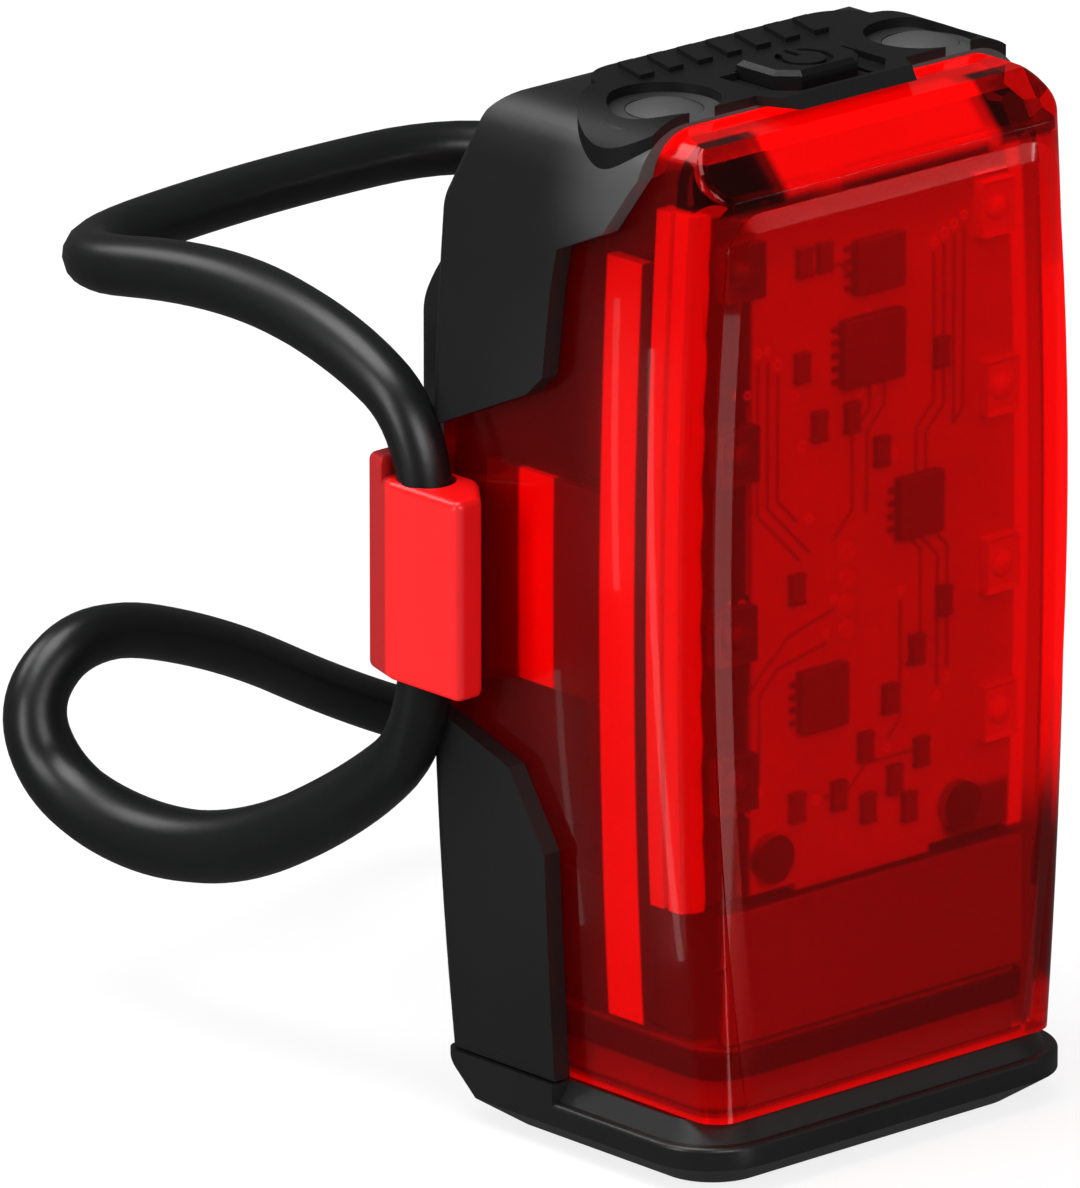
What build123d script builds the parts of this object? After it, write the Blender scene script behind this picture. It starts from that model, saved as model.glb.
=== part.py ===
from build123d import *
import os
from math import pi, radians, sin, tan

os.makedirs("parts", exist_ok=True)

# Axes: X to the right seen from the front, the lens faces -Y, Z up, origin under the end cap

# Body of the light
foot_level = 4.4
top_level = 64.6
housing_half = 16.5
rear_face = 12.0
barrel_radius = 390.0
rear_barrel_radius = 700.0
shoulder_round = 4.0
rear_facet_angle = 28.0
rear_shoulder_drop = 7.3
rear_shoulder_round = 3.0
rear_top_round = 3.4
side_wall = 1.3
housing_wall = 1.6
housing_round = 0.9
joint_gap = 0.06
overrun = 4.0

# Front lens
lens_inset = 1.3
lens_front = -10.75
lens_wall = 1.6
lens_round = 1.8
lens_inner_round = 0.9
lens_top_drop = 0.2
lens_shoulder_round = 3.0
brow_drop = 3.4
brow_run = 2.5
brow_top_drop = 0.7
brow_edge = 0.5
lens_rear_top = -5.3
lap = 1.2
panel_proud = 0.3
panel_side = 0.9
panel_top_drop = 4.4
panel_foot = 0.8
panel_level = 38.0
panel_radius = 200.0
panel_corner = 2.6
panel_bevel = 1.1
panel_bevel_depth = 0.24

# Seam between housing and lens, in shares of the rear face and of the top level
upper_seam_shares = [(-0.442, 0.957), (-0.221, 0.899), (0.100, 0.872), (0.133, 0.833),
                     (0.172, 0.748), (0.283, 0.728), (1.000, 0.667)]
lower_seam_shares = [(0.161, 0.068), (0.162, 0.291), (0.404, 0.365), (1.000, 0.4025)]
window_inner_gap = 0.1

# Strap hook on the left, strap post on the right
hook_drop = 0.54
hook_height = 4.6
hook_depth = 2.0
hook_reach = 1.5
hook_gap = 0.15
post_inset = 1.0
post_radius = 4.0
post_flange_radius = 5.6
post_flange = 0.7
post_gap = 0.1

# Screws in the top
screw_inset = 1.04
screw_y = -2.05
screw_radius = 1.0
screw_head_radius = 1.8
screw_head_height = 1.1
screw_length = 6.0
screw_hole_gap = 0.04
counterbore_radius = 2.35
counterbore_drop = 1.7
screw_pad_radius = 4.2
screw_pad_drop = 0.3
screw_boss_radius = 3.0
screw_boss_drop = 3.2
plug_radius = 2.3
plug_gap = 0.04
plug_dome = 0.55
plug_drop = 0.05

# Top cover of rubber
cover_thickness = 0.6
cover_inset = 0.14
cover_rear_inset = 6.7
cover_depth = 7.0
cover_corner = 3.2
lobe_radius = 5.1
recess_radius = 3.4
tongue_half = 4.4
tongue_root_half = 6.0
tongue_slope = 1.6
tongue_tip_drop = 0.25
groove_half = 5.0
groove_front = -6.3
groove_rear = -1.0
groove_depth = 0.42
groove_chamfer = 1.6
mark_count = 7
mark_height = 0.3
mark_margin = 3.0
mark_shift = -1.2
mark_length = 2.9
mark_rear_inset = 0.7
mark_lean = 0.9

# Power button
button_half = 3.4
button_front = -5.2
button_rear = -0.8
button_proud = 0.7
button_sink = 1.2
button_chamfer = 1.2
button_gap = 0.12
button_edge = 0.3
button_travel = 0.6
button_flange = 0.7
button_flange_height = 0.7
button_flange_gap = 0.1
button_stem_radius = 1.1
icon_radius = 1.75
icon_width = 0.45
icon_depth = 0.25
icon_y = -3.0
icon_gap_half = 0.7
icon_bar = 1.3

# Circuit board
board_inset = 3.25
board_thickness = 1.0
board_top_drop = 6.0
board_shoulder_lift = 0.4
board_tail_half = 5.4
board_tail_bottom = 6.2
board_gap = 0.15

# Lamps and parts on the board
led_width = 2.6
led_height = 3.4
led_depth = 0.9
led_lens_radius = 0.9
led_lens_height = 0.35
led_margin = 0.25
led_levels_shares = [0.867, 0.694, 0.523, 0.381]
chip_depth = 0.8
chip_shares = [(0.06, 0.842, 0.32, 0.052), (0.02, 0.762, 0.40, 0.066), (0.34, 0.60, 0.28, 0.060),
               (-0.30, 0.44, 0.30, 0.060)]
small_depth = 0.5
small_width = 1.0
small_height = 1.9
small_shares = [(-0.44, 0.86), (-0.30, 0.86), (-0.44, 0.76), (-0.32, 0.70), (-0.10, 0.70),
                (0.10, 0.66), (0.50, 0.74), (0.52, 0.50), (0.34, 0.46), (0.16, 0.42),
                (0.00, 0.38), (-0.18, 0.34), (0.20, 0.34), (0.38, 0.36), (-0.46, 0.55),
                (-0.46, 0.34), (0.02, 0.32), (0.30, 0.31)]
pad_radius = 0.6
pad_thickness = 0.12
pad_x = -1.35
pad_level = 36.9
pad_pitch = 1.6
pad_count = 4
board_screw_inset = 2.7
board_screw_rise = 2.5
board_screw_radius = 0.8
board_screw_head_radius = 1.5
board_screw_head = 0.7
board_screw_length = 2.6
board_boss_radius = 1.7

# Light guides and side reflectors
guide_thickness = 1.1
guide_gap = 0.15
guide_inset = 3.3
guide_depth = 2.7
guide_lift = 0.1
guide_top_drop = 5.0
guide_groove = 0.5
guide_groove_inset = 1.1
guide_groove_width = 0.45
reflector_thickness = 0.8
reflector_gap = 0.9
reflector_depth = 3.2
reflector_top_drop = 8.6
reflector_lift = 0.2
wing_bottom = 28.4
wing_top = 41.4
wing_rear_inset = 2.8
wing_thickness = 0.45

# Inner frame
frame_bottom = 8.8
frame_height = 8.0
frame_wall = 1.0
frame_side_gap = 0.2
frame_rear_inset = 2.5
frame_front_gap = 0.2
rail_outer_gap = 0.3
rail_width = 1.8
rail_rear = 1.2
rail_top_drop = 3.4
boss_radius = 1.9
boss_height = 4.8
web_gap = 2.1
web_thickness = 0.8
web_top_drop = 12.0

# Switch under the button
switch_half = 3.0
switch_depth = 3.6
switch_drop = 10.2
switch_height = 3.7
plunger_radius = 0.9
plunger_gap = 0.05
plunger_reach = 1.25
plunger_inset = 2.1

# Battery with its foam and leads
battery_side_gap = 0.4
battery_thickness = 10.0
battery_lift = 0.3
battery_top_drop = 13.2
battery_round = 1.6
battery_gap = 0.1
foam_half = 4.6
foam_bottom = 25.0
foam_height = 24.0
lead_diameter = 0.9
lead_x = 1.6
lead_rise = 1.9
lead_bend = 1.2

# Charging socket
port_half = 3.75
port_depth = 2.6
port_bottom = 5.0
port_height = 5.4
port_wall = 0.3
port_corner = 0.8
port_tongue_half = 2.6
port_tongue_thickness = 0.7
port_tongue_height = 4.6
contact_count = 5
contact_pitch = 0.8
contact_width = 0.4
contact_thickness = 0.12

# End cap of rubber
cap_side_inset = 0.9
cap_front_proud = 0.95
cap_rear_inset = 0.35
cap_front_round = 4.5
cap_rear_round = 1.2
cap_gap = 0.15
cap_bottom_inset = 2.4
cap_chamfer_height = 1.7
cap_lip_level = 3.1
cap_step = 0.35
cap_ledge_inset = 1.4
cap_ledge_rear = 1.9
cap_foot_inset = 5.0
cap_foot_height = 4.2
cap_lip_round = 0.3
spigot_top = 8.4
spigot_wall = 0.95
spigot_round = 1.3
spigot_gap = 0.45
rib_low = 6.6
rib_height = 1.5
rib_gap = 0.08

# Saddle for the post
pad_half = 11.65
pad_bottom = 21.4
pad_top_drop = 10.0
pad_depth = 6.2
pad_edge = 0.6
pad_top_slope = 8.0
pad_bulge = 1.5
pad_bottom_slope = 2.2
pad_floor = 1.2
pad_corner = 1.0
post_size_radius = 13.6
saddle_proud = 0.05
saddle_wall = 1.5

# Strap and its tab
strap_diameter = 3.3
tab_gap = 0.1
tab_thickness = 3.9
tab_front_reach = 4.8
tab_rear_reach = 4.2
tab_height = 12.4
tab_nose = 1.9
tab_nose_run = 2.4
tab_tail_side = 0.9
tab_tail_run = 2.9
tab_corner = 0.6
tab_edge = 0.5
tab_ear_height = 1.1
tab_ear_depth = 1.9
tab_socket_depth = 3.5
tab_socket_gap = 0.06
strap_bend_share = 0.45

# Levels and places worked out from the sizes above
barrel_level = (foot_level + top_level) / 2
rear_shoulder_level = top_level - rear_shoulder_drop
lens_half = housing_half - lens_inset
lens_top_level = top_level - lens_top_drop
brow_level = top_level - brow_drop
brow_top_level = top_level - brow_top_drop
brow_back = lens_front + brow_run
panel_half = lens_half - panel_side
panel_top = top_level - panel_top_drop
panel_bottom = foot_level + panel_foot
flat_half = housing_half - (top_level - barrel_level) ** 2 / (2 * barrel_radius) - shoulder_round
hook_level = top_level * (upper_seam_shares[-1][1] + lower_seam_shares[-1][1]) / 2 - hook_drop
hook_front = rear_face - hook_depth
post_y = rear_face - post_inset
screw_x = flat_half - screw_inset
screw_pad_level = top_level - screw_pad_drop
screw_boss_level = top_level - screw_boss_drop
counterbore_level = top_level - counterbore_drop
plug_level = top_level - plug_drop
cover_level = top_level + cover_thickness
cover_half = flat_half - cover_inset
cover_rear = rear_face - cover_rear_inset
tongue_slope_start = brow_back + tongue_slope
tongue_tip_level = top_level - tongue_tip_drop
mark_pitch = 2 * (cover_half - mark_margin) / mark_count
mark_width = mark_pitch / 2
mark_rear = cover_rear - mark_rear_inset
mark_front = mark_rear - mark_length
button_top = cover_level + button_proud
button_bottom = top_level - button_sink
board_front = lens_front + board_inset
board_rear = board_front + board_thickness
board_top = top_level - board_top_drop
guide_front = lens_front + guide_inset
guide_rear = guide_front + guide_depth
guide_top = top_level - guide_top_drop
reflector_front = guide_rear + reflector_gap
reflector_rear = reflector_front + reflector_depth
reflector_top = top_level - reflector_top_drop
reflector_bottom = frame_bottom + reflector_lift
wing_rear = rear_face - wing_rear_inset
frame_top = frame_bottom + frame_height
guide_bottom = frame_top + guide_lift
frame_rear = rear_face - frame_rear_inset
board_shoulder = frame_top + board_shoulder_lift
rail_top = top_level - rail_top_drop
boss_bottom = rail_top - boss_height
web_front = board_rear + web_gap
web_top = top_level - web_top_drop
board_screw_x = screw_x - board_screw_inset
board_screw_level = frame_top + board_screw_rise
switch_bottom = top_level - switch_drop
plunger_y = board_rear + plunger_inset
battery_bottom = frame_top + battery_lift
battery_top = top_level - battery_top_drop
lead_level = battery_top + lead_rise
cap_top = foot_level - cap_gap
cap_half = housing_half - cap_side_inset
cap_front = lens_front - cap_front_proud
cap_rear = rear_face - cap_rear_inset
pad_top = top_level - pad_top_drop
pad_reach = rear_face + pad_depth
saddle_y = rear_face + saddle_proud + post_size_radius
trough_radius = post_size_radius + pad_floor
tab_inner_face = lens_half + tab_gap
tab_outer_face = tab_inner_face + tab_thickness
tab_front = post_y - tab_front_reach
tab_rear = post_y + tab_rear_reach
tab_bottom = hook_level - tab_height / 2
tab_top = hook_level + tab_height / 2
strap_x = (tab_inner_face + tab_outer_face) / 2
post_inner_face = lens_half + post_gap
post_outer_face = strap_x + strap_diameter / 2 + post_gap
strap_post_radius = post_radius + strap_diameter / 2


# Basic shapes
def block(x0, x1, y0, y1, z0, z1):
    """A box between two corners."""
    middle = Pos((x0 + x1) / 2, (y0 + y1) / 2, (z0 + z1) / 2)
    return middle * Box(x1 - x0, y1 - y0, z1 - z0)


def along_x(face, x0, x1):
    """A (Y, Z) face drawn out from x0 to x1."""
    plane = Plane(origin=(x0, 0, 0), x_dir=(0, 1, 0), z_dir=(1, 0, 0))
    return extrude(plane * face, amount=x1 - x0)


def along_y(face, y0, y1):
    """An (X, Z) face drawn out from y1 forward to y0."""
    plane = Plane(origin=(0, y1, 0), x_dir=(1, 0, 0), z_dir=(0, -1, 0))
    return extrude(plane * face, amount=y1 - y0)


def along_z(face, z0, z1):
    """An (X, Y) face drawn out from z0 up to z1."""
    return extrude(Pos(0, 0, z0) * face, amount=z1 - z0)


def polygon(points):
    """A flat face with straight sides."""
    return make_face(Polyline(*points, close=True))


def pin(x, y, radius, z0, z1):
    """An upright cylinder."""
    return Pos(x, y, (z0 + z1) / 2) * Cylinder(radius, z1 - z0)


def mirrored(shape):
    """The same shape on the other side of the middle plane."""
    return mirror(shape, about=Plane.YZ)


def single(shape):
    """The one solid of a shape, or the shape as it is if it has several."""
    solids = shape.solids()
    return solids[0] if len(solids) == 1 else Compound(children=solids)


def half_at(level, half_width):
    """Half width of a bulging side at a level."""
    return half_width - (level - barrel_level) ** 2 / (2 * barrel_radius)


def rear_at(level):
    """Place of the bulging rear face at a level."""
    return rear_face - (level - barrel_level) ** 2 / (2 * rear_barrel_radius)


def barrel_face(half_width, bottom, top, corner):
    """Front view of a barrel with rounded shoulders, or with sharp ones for a corner of 0."""
    low = half_at(bottom, half_width)
    high = half_at(top, half_width)
    right = ThreePointArc((low, bottom), (half_width, barrel_level), (high, top))
    left = ThreePointArc((-high, top), (-half_width, barrel_level), (-low, bottom))
    roof = Line((high, top), (-high, top))
    base = Line((-low, bottom), (low, bottom))
    face = make_face([right, roof, left, base])
    return fillet(face.vertices().group_by(Axis.Y)[-1], corner) if corner > 0 else face


# Housing and lens outlines
def side_outline(wall_inset, bottom, corner):
    """Side view of the housing: a bulging rear face and a facet that runs up to the roof."""
    top = top_level - wall_inset
    shoulder = rear_shoulder_level - wall_inset * tan(radians(rear_facet_angle) / 2)
    rear_high = rear_at(shoulder) - wall_inset
    rear_low = rear_at(bottom) - wall_inset
    facet_run = (top - shoulder) * tan(radians(rear_facet_angle))
    front = lens_front - overrun
    rear_arc = ThreePointArc((rear_low, bottom), (rear_face - wall_inset, barrel_level),
                             (rear_high, shoulder))
    rest = Polyline((rear_high, shoulder), (rear_high - facet_run, top), (front, top),
                    (front, bottom), (rear_low, bottom))
    face = make_face([rear_arc, rest])
    knee = [v for v in face.vertices() if abs(v.Y - shoulder) < joint_gap]
    face = fillet(knee, rear_shoulder_round - wall_inset / 2)
    roof = [v for v in face.vertices() if abs(v.Y - top) < joint_gap and v.X > front + overrun]
    return fillet(roof, corner) if corner > 0 else face


def housing_shape(side_inset, wall_inset, bottom):
    """The housing's block, drawn in by one inset at the sides and one elsewhere."""
    corner = shoulder_round - (side_inset + wall_inset) / 2
    front_view = barrel_face(housing_half - side_inset, bottom, top_level - wall_inset, corner)
    side_view = side_outline(wall_inset, bottom, rear_top_round - wall_inset)
    sides = along_y(front_view, lens_front - overrun, rear_face + overrun)
    return sides & along_x(side_view, -housing_half - overrun, housing_half + overrun)


def rounded_housing():
    """The housing's block with rounded rear edges down both sides."""
    front_view = barrel_face(housing_half, foot_level, top_level, 0)
    sides = along_y(front_view, lens_front - overrun, rear_face + overrun)
    rear = along_x(side_outline(0, foot_level, 0), -housing_half - overrun, housing_half + overrun)
    sharp = sides & rear
    edges = [e for e in sharp.edges() if e.center().Y > cover_rear
             and abs(e.center().X) > flat_half / 2 and e.center().Z > foot_level + housing_wall]
    return fillet(edges, housing_round) & housing_shape(0, 0, foot_level)


def seam_faces(shrink):
    """Side view of the housing's two side walls, drawn in by the lap of the lens."""
    high = top_level + overrun
    back = rear_face + overrun
    upper = [(y * rear_face, z * top_level) for y, z in upper_seam_shares]
    lower = [(y * rear_face, z * top_level) for y, z in lower_seam_shares]
    upper_start = (upper[0][0], high)
    upper_end = (back, upper[-1][1])
    lower_end = (back, lower[-1][1])
    upper_face = polygon([upper_start] + upper + [upper_end, (back, high)])
    lower_face = polygon([(lower[0][0], foot_level - overrun)] + lower[1:]
                         + [lower_end, (back, foot_level - overrun)])
    return [shrunk(upper_face, shrink), shrunk(lower_face, shrink)]


def shrunk(face, amount):
    """A face drawn in by an amount."""
    return offset(face, amount=-amount, kind=Kind.INTERSECTION) if amount > 0 else face


def lens_block(inset):
    """The lens's outer shape drawn in by an inset, with its brow and its rounded front edges."""
    half_width = lens_half - inset
    front = lens_front + inset
    bottom = foot_level - (overrun if inset > 0 else 0)
    front_view = barrel_face(half_width, bottom, lens_top_level - inset,
                             lens_shoulder_round - inset)
    body = along_y(front_view, front, rear_face + overrun)
    corner = lens_inner_round if inset > joint_gap else lens_round
    edges = [e for e in body.edges() if abs(e.center().Y - front) < joint_gap
             and e.length > top_level / 2]
    body = fillet(edges, corner)
    high = top_level + overrun
    brow_share = (brow_top_level - brow_level) / (brow_back - lens_front)
    brow_start = (lens_front - overrun, brow_level - overrun * brow_share - inset)
    brow_end = (brow_back + inset / 2, brow_top_level - inset)
    top_end = (lens_rear_top, lens_top_level - inset)
    above = polygon([brow_start, brow_end, top_end, (rear_face + overrun, top_end[1]),
                     (rear_face + overrun, high), (lens_front - overrun, high)])
    body = body - along_x(above, -housing_half, housing_half)
    if inset > joint_gap:
        return body
    brow = [e for e in body.edges() if abs(e.center().Y - front) < joint_gap
            and abs(e.center().X) < joint_gap and e.center().Z > barrel_level]
    body = fillet(brow, brow_edge)
    return body & rear_limit(inset)


def rear_limit(inset):
    """All that lies in front of the bulging rear face."""
    bottom = foot_level - overrun
    top = top_level + overrun
    low = rear_at(foot_level) - inset
    high = rear_at(rear_shoulder_level) - inset
    arc = ThreePointArc((low, foot_level), (rear_face - inset, barrel_level),
                        (high, rear_shoulder_level))
    rest = Polyline((high, rear_shoulder_level), (high, top), (lens_front - overrun, top),
                    (lens_front - overrun, bottom), (low, bottom), (low, foot_level))
    return along_x(make_face([arc, rest]), -housing_half, housing_half)


def panel():
    """The raised front panel of the lens, a shield with bulging sides."""
    low = panel_half - (panel_bottom - panel_level) ** 2 / (2 * panel_radius)
    high = panel_half - (panel_top - panel_level) ** 2 / (2 * panel_radius)
    right = ThreePointArc((low, panel_bottom), (panel_half, panel_level), (high, panel_top))
    left = ThreePointArc((-high, panel_top), (-panel_half, panel_level), (-low, panel_bottom))
    top = Line((high, panel_top), (-high, panel_top))
    bottom = Line((-low, panel_bottom), (low, panel_bottom))
    face = make_face([right, top, left, bottom])
    face = fillet(face.vertices().group_by(Axis.Y)[-1], panel_corner)
    solid = along_y(face, lens_front - panel_proud, lens_front + lens_wall / 2)
    face = solid.faces().sort_by(Axis.Y)[0]
    return chamfer(face.edges(), panel_bevel, panel_bevel_depth, reference=face)


def hook_notch(gap):
    """The room through the lens's rear edge for the hook and the strap post."""
    low = hook_level - hook_height / 2 - gap
    high = hook_level + hook_height / 2 + gap
    reach = housing_half + overrun
    return block(-reach, reach, hook_front - gap, rear_face + overrun, low, high)


def lens_shell(gap):
    """The lens as a shell, grown by a gap on every side."""
    shell = lens_block(-gap) - lens_block(lens_wall + gap)
    for face in seam_faces(lap + gap):
        shell = shell - along_x(face, -housing_half - overrun, housing_half + overrun)
    behind_top = block(-housing_half, housing_half, lens_rear_top - joint_gap + gap, rear_face,
                       top_level * upper_seam_shares[0][1], top_level + overrun)
    return shell - behind_top


def front_lens():
    """The red lens with its raised panel."""
    lens = lens_shell(0) + panel()
    return lens - hook_notch(hook_gap)


# Rear housing
def housing_cavity():
    """The hollow of the housing, open to the front and to the foot."""
    return housing_shape(side_wall, housing_wall, foot_level - overrun)


def screw_places():
    """The two screws of the top."""
    return [(-screw_x, screw_y), (screw_x, screw_y)]


def saddle_trough(radius, bottom, top):
    """An upright cylinder about the axis of the post that the light is strapped to."""
    return pin(0, saddle_y, radius, bottom, top)


def strap_hook():
    """The hook on the left that the tab is pushed over."""
    low = hook_level - hook_height / 2
    high = hook_level + hook_height / 2
    inner = lens_half - lens_wall - overrun
    hook = block(-tab_inner_face - hook_reach, -inner, hook_front, rear_face, low, high)
    return hook & rear_limit(0)


def strap_post():
    """The round post on the right that the strap runs about."""
    low = hook_level - hook_height / 2
    high = hook_level + hook_height / 2
    inner = lens_half - lens_wall - overrun
    neck = block(inner, post_inner_face + post_gap, hook_front, rear_face, low, high)
    neck = neck & rear_limit(0)
    axis = Pos((post_inner_face + post_outer_face) / 2, post_y, hook_level) * Rot(0, 90, 0)
    barrel = axis * Cylinder(post_radius, post_outer_face - post_inner_face)
    edge = Pos(post_outer_face + post_flange / 2, post_y, hook_level) * Rot(0, 90, 0)
    flange = edge * Cylinder(post_flange_radius, post_flange)
    return neck + barrel + flange


def rear_housing():
    """The black housing with its top plate, screw seats, hook and strap post."""
    outer = rounded_housing()
    trough = saddle_trough(trough_radius, pad_bottom, pad_top)
    thick = saddle_trough(trough_radius + saddle_wall, pad_bottom - saddle_wall,
                          pad_top + saddle_wall)
    shell = outer - housing_cavity() + (outer & thick) - trough
    shell = shell - sides_of_the_lens()
    front = block(-housing_half, housing_half, lens_front - overrun * 2, lens_rear_top,
                  foot_level - overrun, top_level + overrun)
    shell = shell - front
    for x, y in screw_places():
        boss = pin(x, y, screw_boss_radius, screw_boss_level, top_level - housing_wall / 2)
        seat = pin(x, y, screw_pad_radius, top_level - housing_wall, screw_pad_level)
        seat = seat & block(-housing_half, housing_half, lens_rear_top, rear_face,
                            foot_level, top_level)
        shell = shell + (boss & housing_shape(0, 0, foot_level)) + seat
        shell = shell - pin(x, y, counterbore_radius, counterbore_level, top_level + overrun)
        shell = shell - pin(x, y, screw_radius + screw_hole_gap, foot_level, top_level)
    shell = shell + strap_hook() + strap_post()
    lens_room = lens_shell(joint_gap) - hook_notch(hook_gap - joint_gap)
    shell = shell - lens_room - button_opening(button_gap)
    return shell


def sides_of_the_lens():
    """All of the two side walls that belongs to the lens."""
    inner = lens_half - lens_wall - window_inner_gap
    reach = housing_half + overrun
    whole = polygon([(lens_front - overrun, foot_level - overrun),
                     (rear_face + overrun, foot_level - overrun),
                     (rear_face + overrun, top_level * upper_seam_shares[0][1]),
                     (lens_front - overrun, top_level * upper_seam_shares[0][1])])
    for face in seam_faces(0):
        whole = whole - face
    band = along_x(whole, -reach, reach)
    return band - block(-inner, inner, lens_front - overrun * 2, rear_face + overrun * 2,
                        foot_level - overrun * 2, top_level + overrun)


def button_opening(gap):
    """The room that the button slides in."""
    return block(-button_half - gap, button_half + gap, button_front - gap, button_rear + gap,
                 button_bottom - overrun, button_top + overrun)


# Top cover
def cover_outline():
    """Plan of the rubber cover: a plate, two lobes and a forward tongue."""
    plate = polygon([(-cover_half, lens_rear_top), (cover_half, lens_rear_top),
                     (cover_half, cover_rear), (-cover_half, cover_rear)])
    plate = fillet(plate.vertices().group_by(Axis.Y)[-1], cover_corner)
    tongue = polygon([(-tongue_root_half, lens_rear_top), (-tongue_half, brow_back),
                      (tongue_half, brow_back), (tongue_root_half, lens_rear_top)])
    outline = plate + tongue
    for x, y in screw_places():
        lobe = Pos(x, y, 0) * Circle(lobe_radius)
        outline = outline + (lobe & polygon([(-housing_half, lens_rear_top),
                                             (housing_half, lens_rear_top),
                                             (housing_half, cover_rear * 2),
                                             (-housing_half, cover_rear * 2)]))
    return outline


def top_cover():
    """The rubber cover, which follows the housing and the lens beneath it."""
    skin = along_y(barrel_face(housing_half + cover_thickness, foot_level, cover_level,
                               shoulder_round + cover_thickness), lens_front, rear_face)
    cover = along_z(cover_outline(), cover_level - cover_depth, top_level + overrun) & skin
    above_tip = polygon([(tongue_slope_start, cover_level), (brow_back, tongue_tip_level),
                         (brow_back - overrun, tongue_tip_level),
                         (brow_back - overrun, cover_level + overrun),
                         (tongue_slope_start, cover_level + overrun)])
    cover = cover - along_x(above_tip, -housing_half, housing_half)
    cover = cover - housing_shape(0, 0, foot_level) - lens_block(0)
    for x, y in screw_places():
        cover = cover - pin(x, y, screw_pad_radius, foot_level, screw_pad_level)
        cover = cover - pin(x, y, recess_radius, foot_level, top_level + overrun)
    cover = cover - along_z(groove_plan(), cover_level - groove_depth, cover_level + overrun)
    cover = cover - button_opening(button_gap)
    for mark in cover_marks():
        cover = cover + mark
    return cover


def groove_plan():
    """Plan of the groove round the left, front and right of the button."""
    return polygon([(-groove_half, groove_rear), (-groove_half, groove_front + groove_chamfer),
                    (-groove_half + groove_chamfer, groove_front),
                    (groove_half - groove_chamfer, groove_front),
                    (groove_half, groove_front + groove_chamfer), (groove_half, groove_rear)])


def cover_marks():
    """A row of plain leaning ribs behind the button."""
    marks = []
    for index in range(mark_count):
        x = mark_shift + (index - (mark_count - 1) / 2) * mark_pitch
        plan = polygon([(x - mark_width / 2, mark_front), (x + mark_width / 2, mark_front),
                        (x + mark_width / 2 + mark_lean, mark_rear),
                        (x - mark_width / 2 + mark_lean, mark_rear)])
        marks.append(along_z(plan, cover_level - cover_thickness / 2, cover_level + mark_height))
    return marks


# Power button and switch
def button_plan():
    """Plan of the button with its two cut front corners."""
    return polygon([(-button_half, button_rear), (-button_half, button_front + button_chamfer),
                    (-button_half + button_chamfer, button_front),
                    (button_half - button_chamfer, button_front),
                    (button_half, button_front + button_chamfer), (button_half, button_rear)])


def power_icon():
    """A broken ring with a bar, cut into the top of the button."""
    ring = Circle(icon_radius) - Circle(icon_radius - icon_width)
    gap = polygon([(-icon_gap_half, 0), (icon_gap_half, 0),
                   (icon_gap_half, icon_radius * 2), (-icon_gap_half, icon_radius * 2)])
    bar = polygon([(-icon_width / 2, icon_radius - icon_bar), (icon_width / 2, icon_radius - icon_bar),
                   (icon_width / 2, icon_radius + icon_width), (-icon_width / 2, icon_radius + icon_width)])
    sign = Pos(0, icon_y, 0) * (ring - gap + bar)
    return along_z(sign, button_top - icon_depth, button_top + overrun)


def plunger_top():
    """Level of the top of the switch's plunger."""
    return switch_bottom + switch_height + plunger_reach


def power_button():
    """The button with its flange under the top plate and its stem down to the switch."""
    key = along_z(button_plan(), button_bottom, button_top)
    rim = key.faces().sort_by(Axis.Z)[-1].edges()
    key = chamfer(rim, button_edge)
    flange_top = top_level - housing_wall - button_flange_gap
    flange = block(-button_half - button_flange, button_half + button_flange, button_front,
                   button_rear + button_flange, flange_top - button_flange_height, flange_top)
    neck = block(-button_half, button_half, button_front, button_rear,
                 flange_top - button_flange_height, button_bottom)
    stem = pin(0, plunger_y + button_stem_radius / 2, button_stem_radius, plunger_top(),
               flange_top - button_flange_height / 2)
    return key + neck + flange + stem - power_icon()


def switch_plunger():
    """The small plunger that the stem pushes into the switch."""
    bottom = switch_bottom + switch_height - button_travel - plunger_gap * 2
    return pin(0, plunger_y, plunger_radius, bottom, plunger_top())


def tact_switch():
    """The switch's body on the rear face of the board, with the bore of its plunger."""
    top = switch_bottom + switch_height
    body = block(-switch_half, switch_half, board_rear, board_rear + switch_depth,
                 switch_bottom, top)
    bore_bottom = top - button_travel * 2 - plunger_gap * 4
    return body - pin(0, plunger_y, plunger_radius + plunger_gap, bore_bottom, top + overrun)


# Screws and plugs
def case_screws():
    """Two screws through the top plate into the inner frame."""
    solids = []
    for x, y in screw_places():
        head = pin(x, y, screw_head_radius, counterbore_level, counterbore_level + screw_head_height)
        shank = pin(x, y, screw_radius, counterbore_level - screw_length, counterbore_level)
        drive = Pos(x, y, 0) * RegularPolygon(screw_radius * 0.7, 6)
        socket = along_z(drive, counterbore_level + screw_head_height / 2, top_level)
        solids.append(single(head + shank - socket))
    return Compound(children=solids)


def screw_plugs():
    """Two domed plugs that close the counterbores over the screws."""
    solids = []
    bottom = counterbore_level + screw_head_height + plug_gap
    ball = (plug_radius ** 2 + plug_dome ** 2) / (2 * plug_dome)
    for x, y in screw_places():
        body = pin(x, y, plug_radius, bottom, plug_level + plug_dome)
        dome = Pos(x, y, plug_level + plug_dome - ball) * Sphere(ball)
        solids.append(single(body & dome))
    return Compound(children=solids)


# Inner frame
def lens_inner_half(level):
    """Half width of the room inside the lens at a level."""
    return half_at(level, lens_half - lens_wall)


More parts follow.
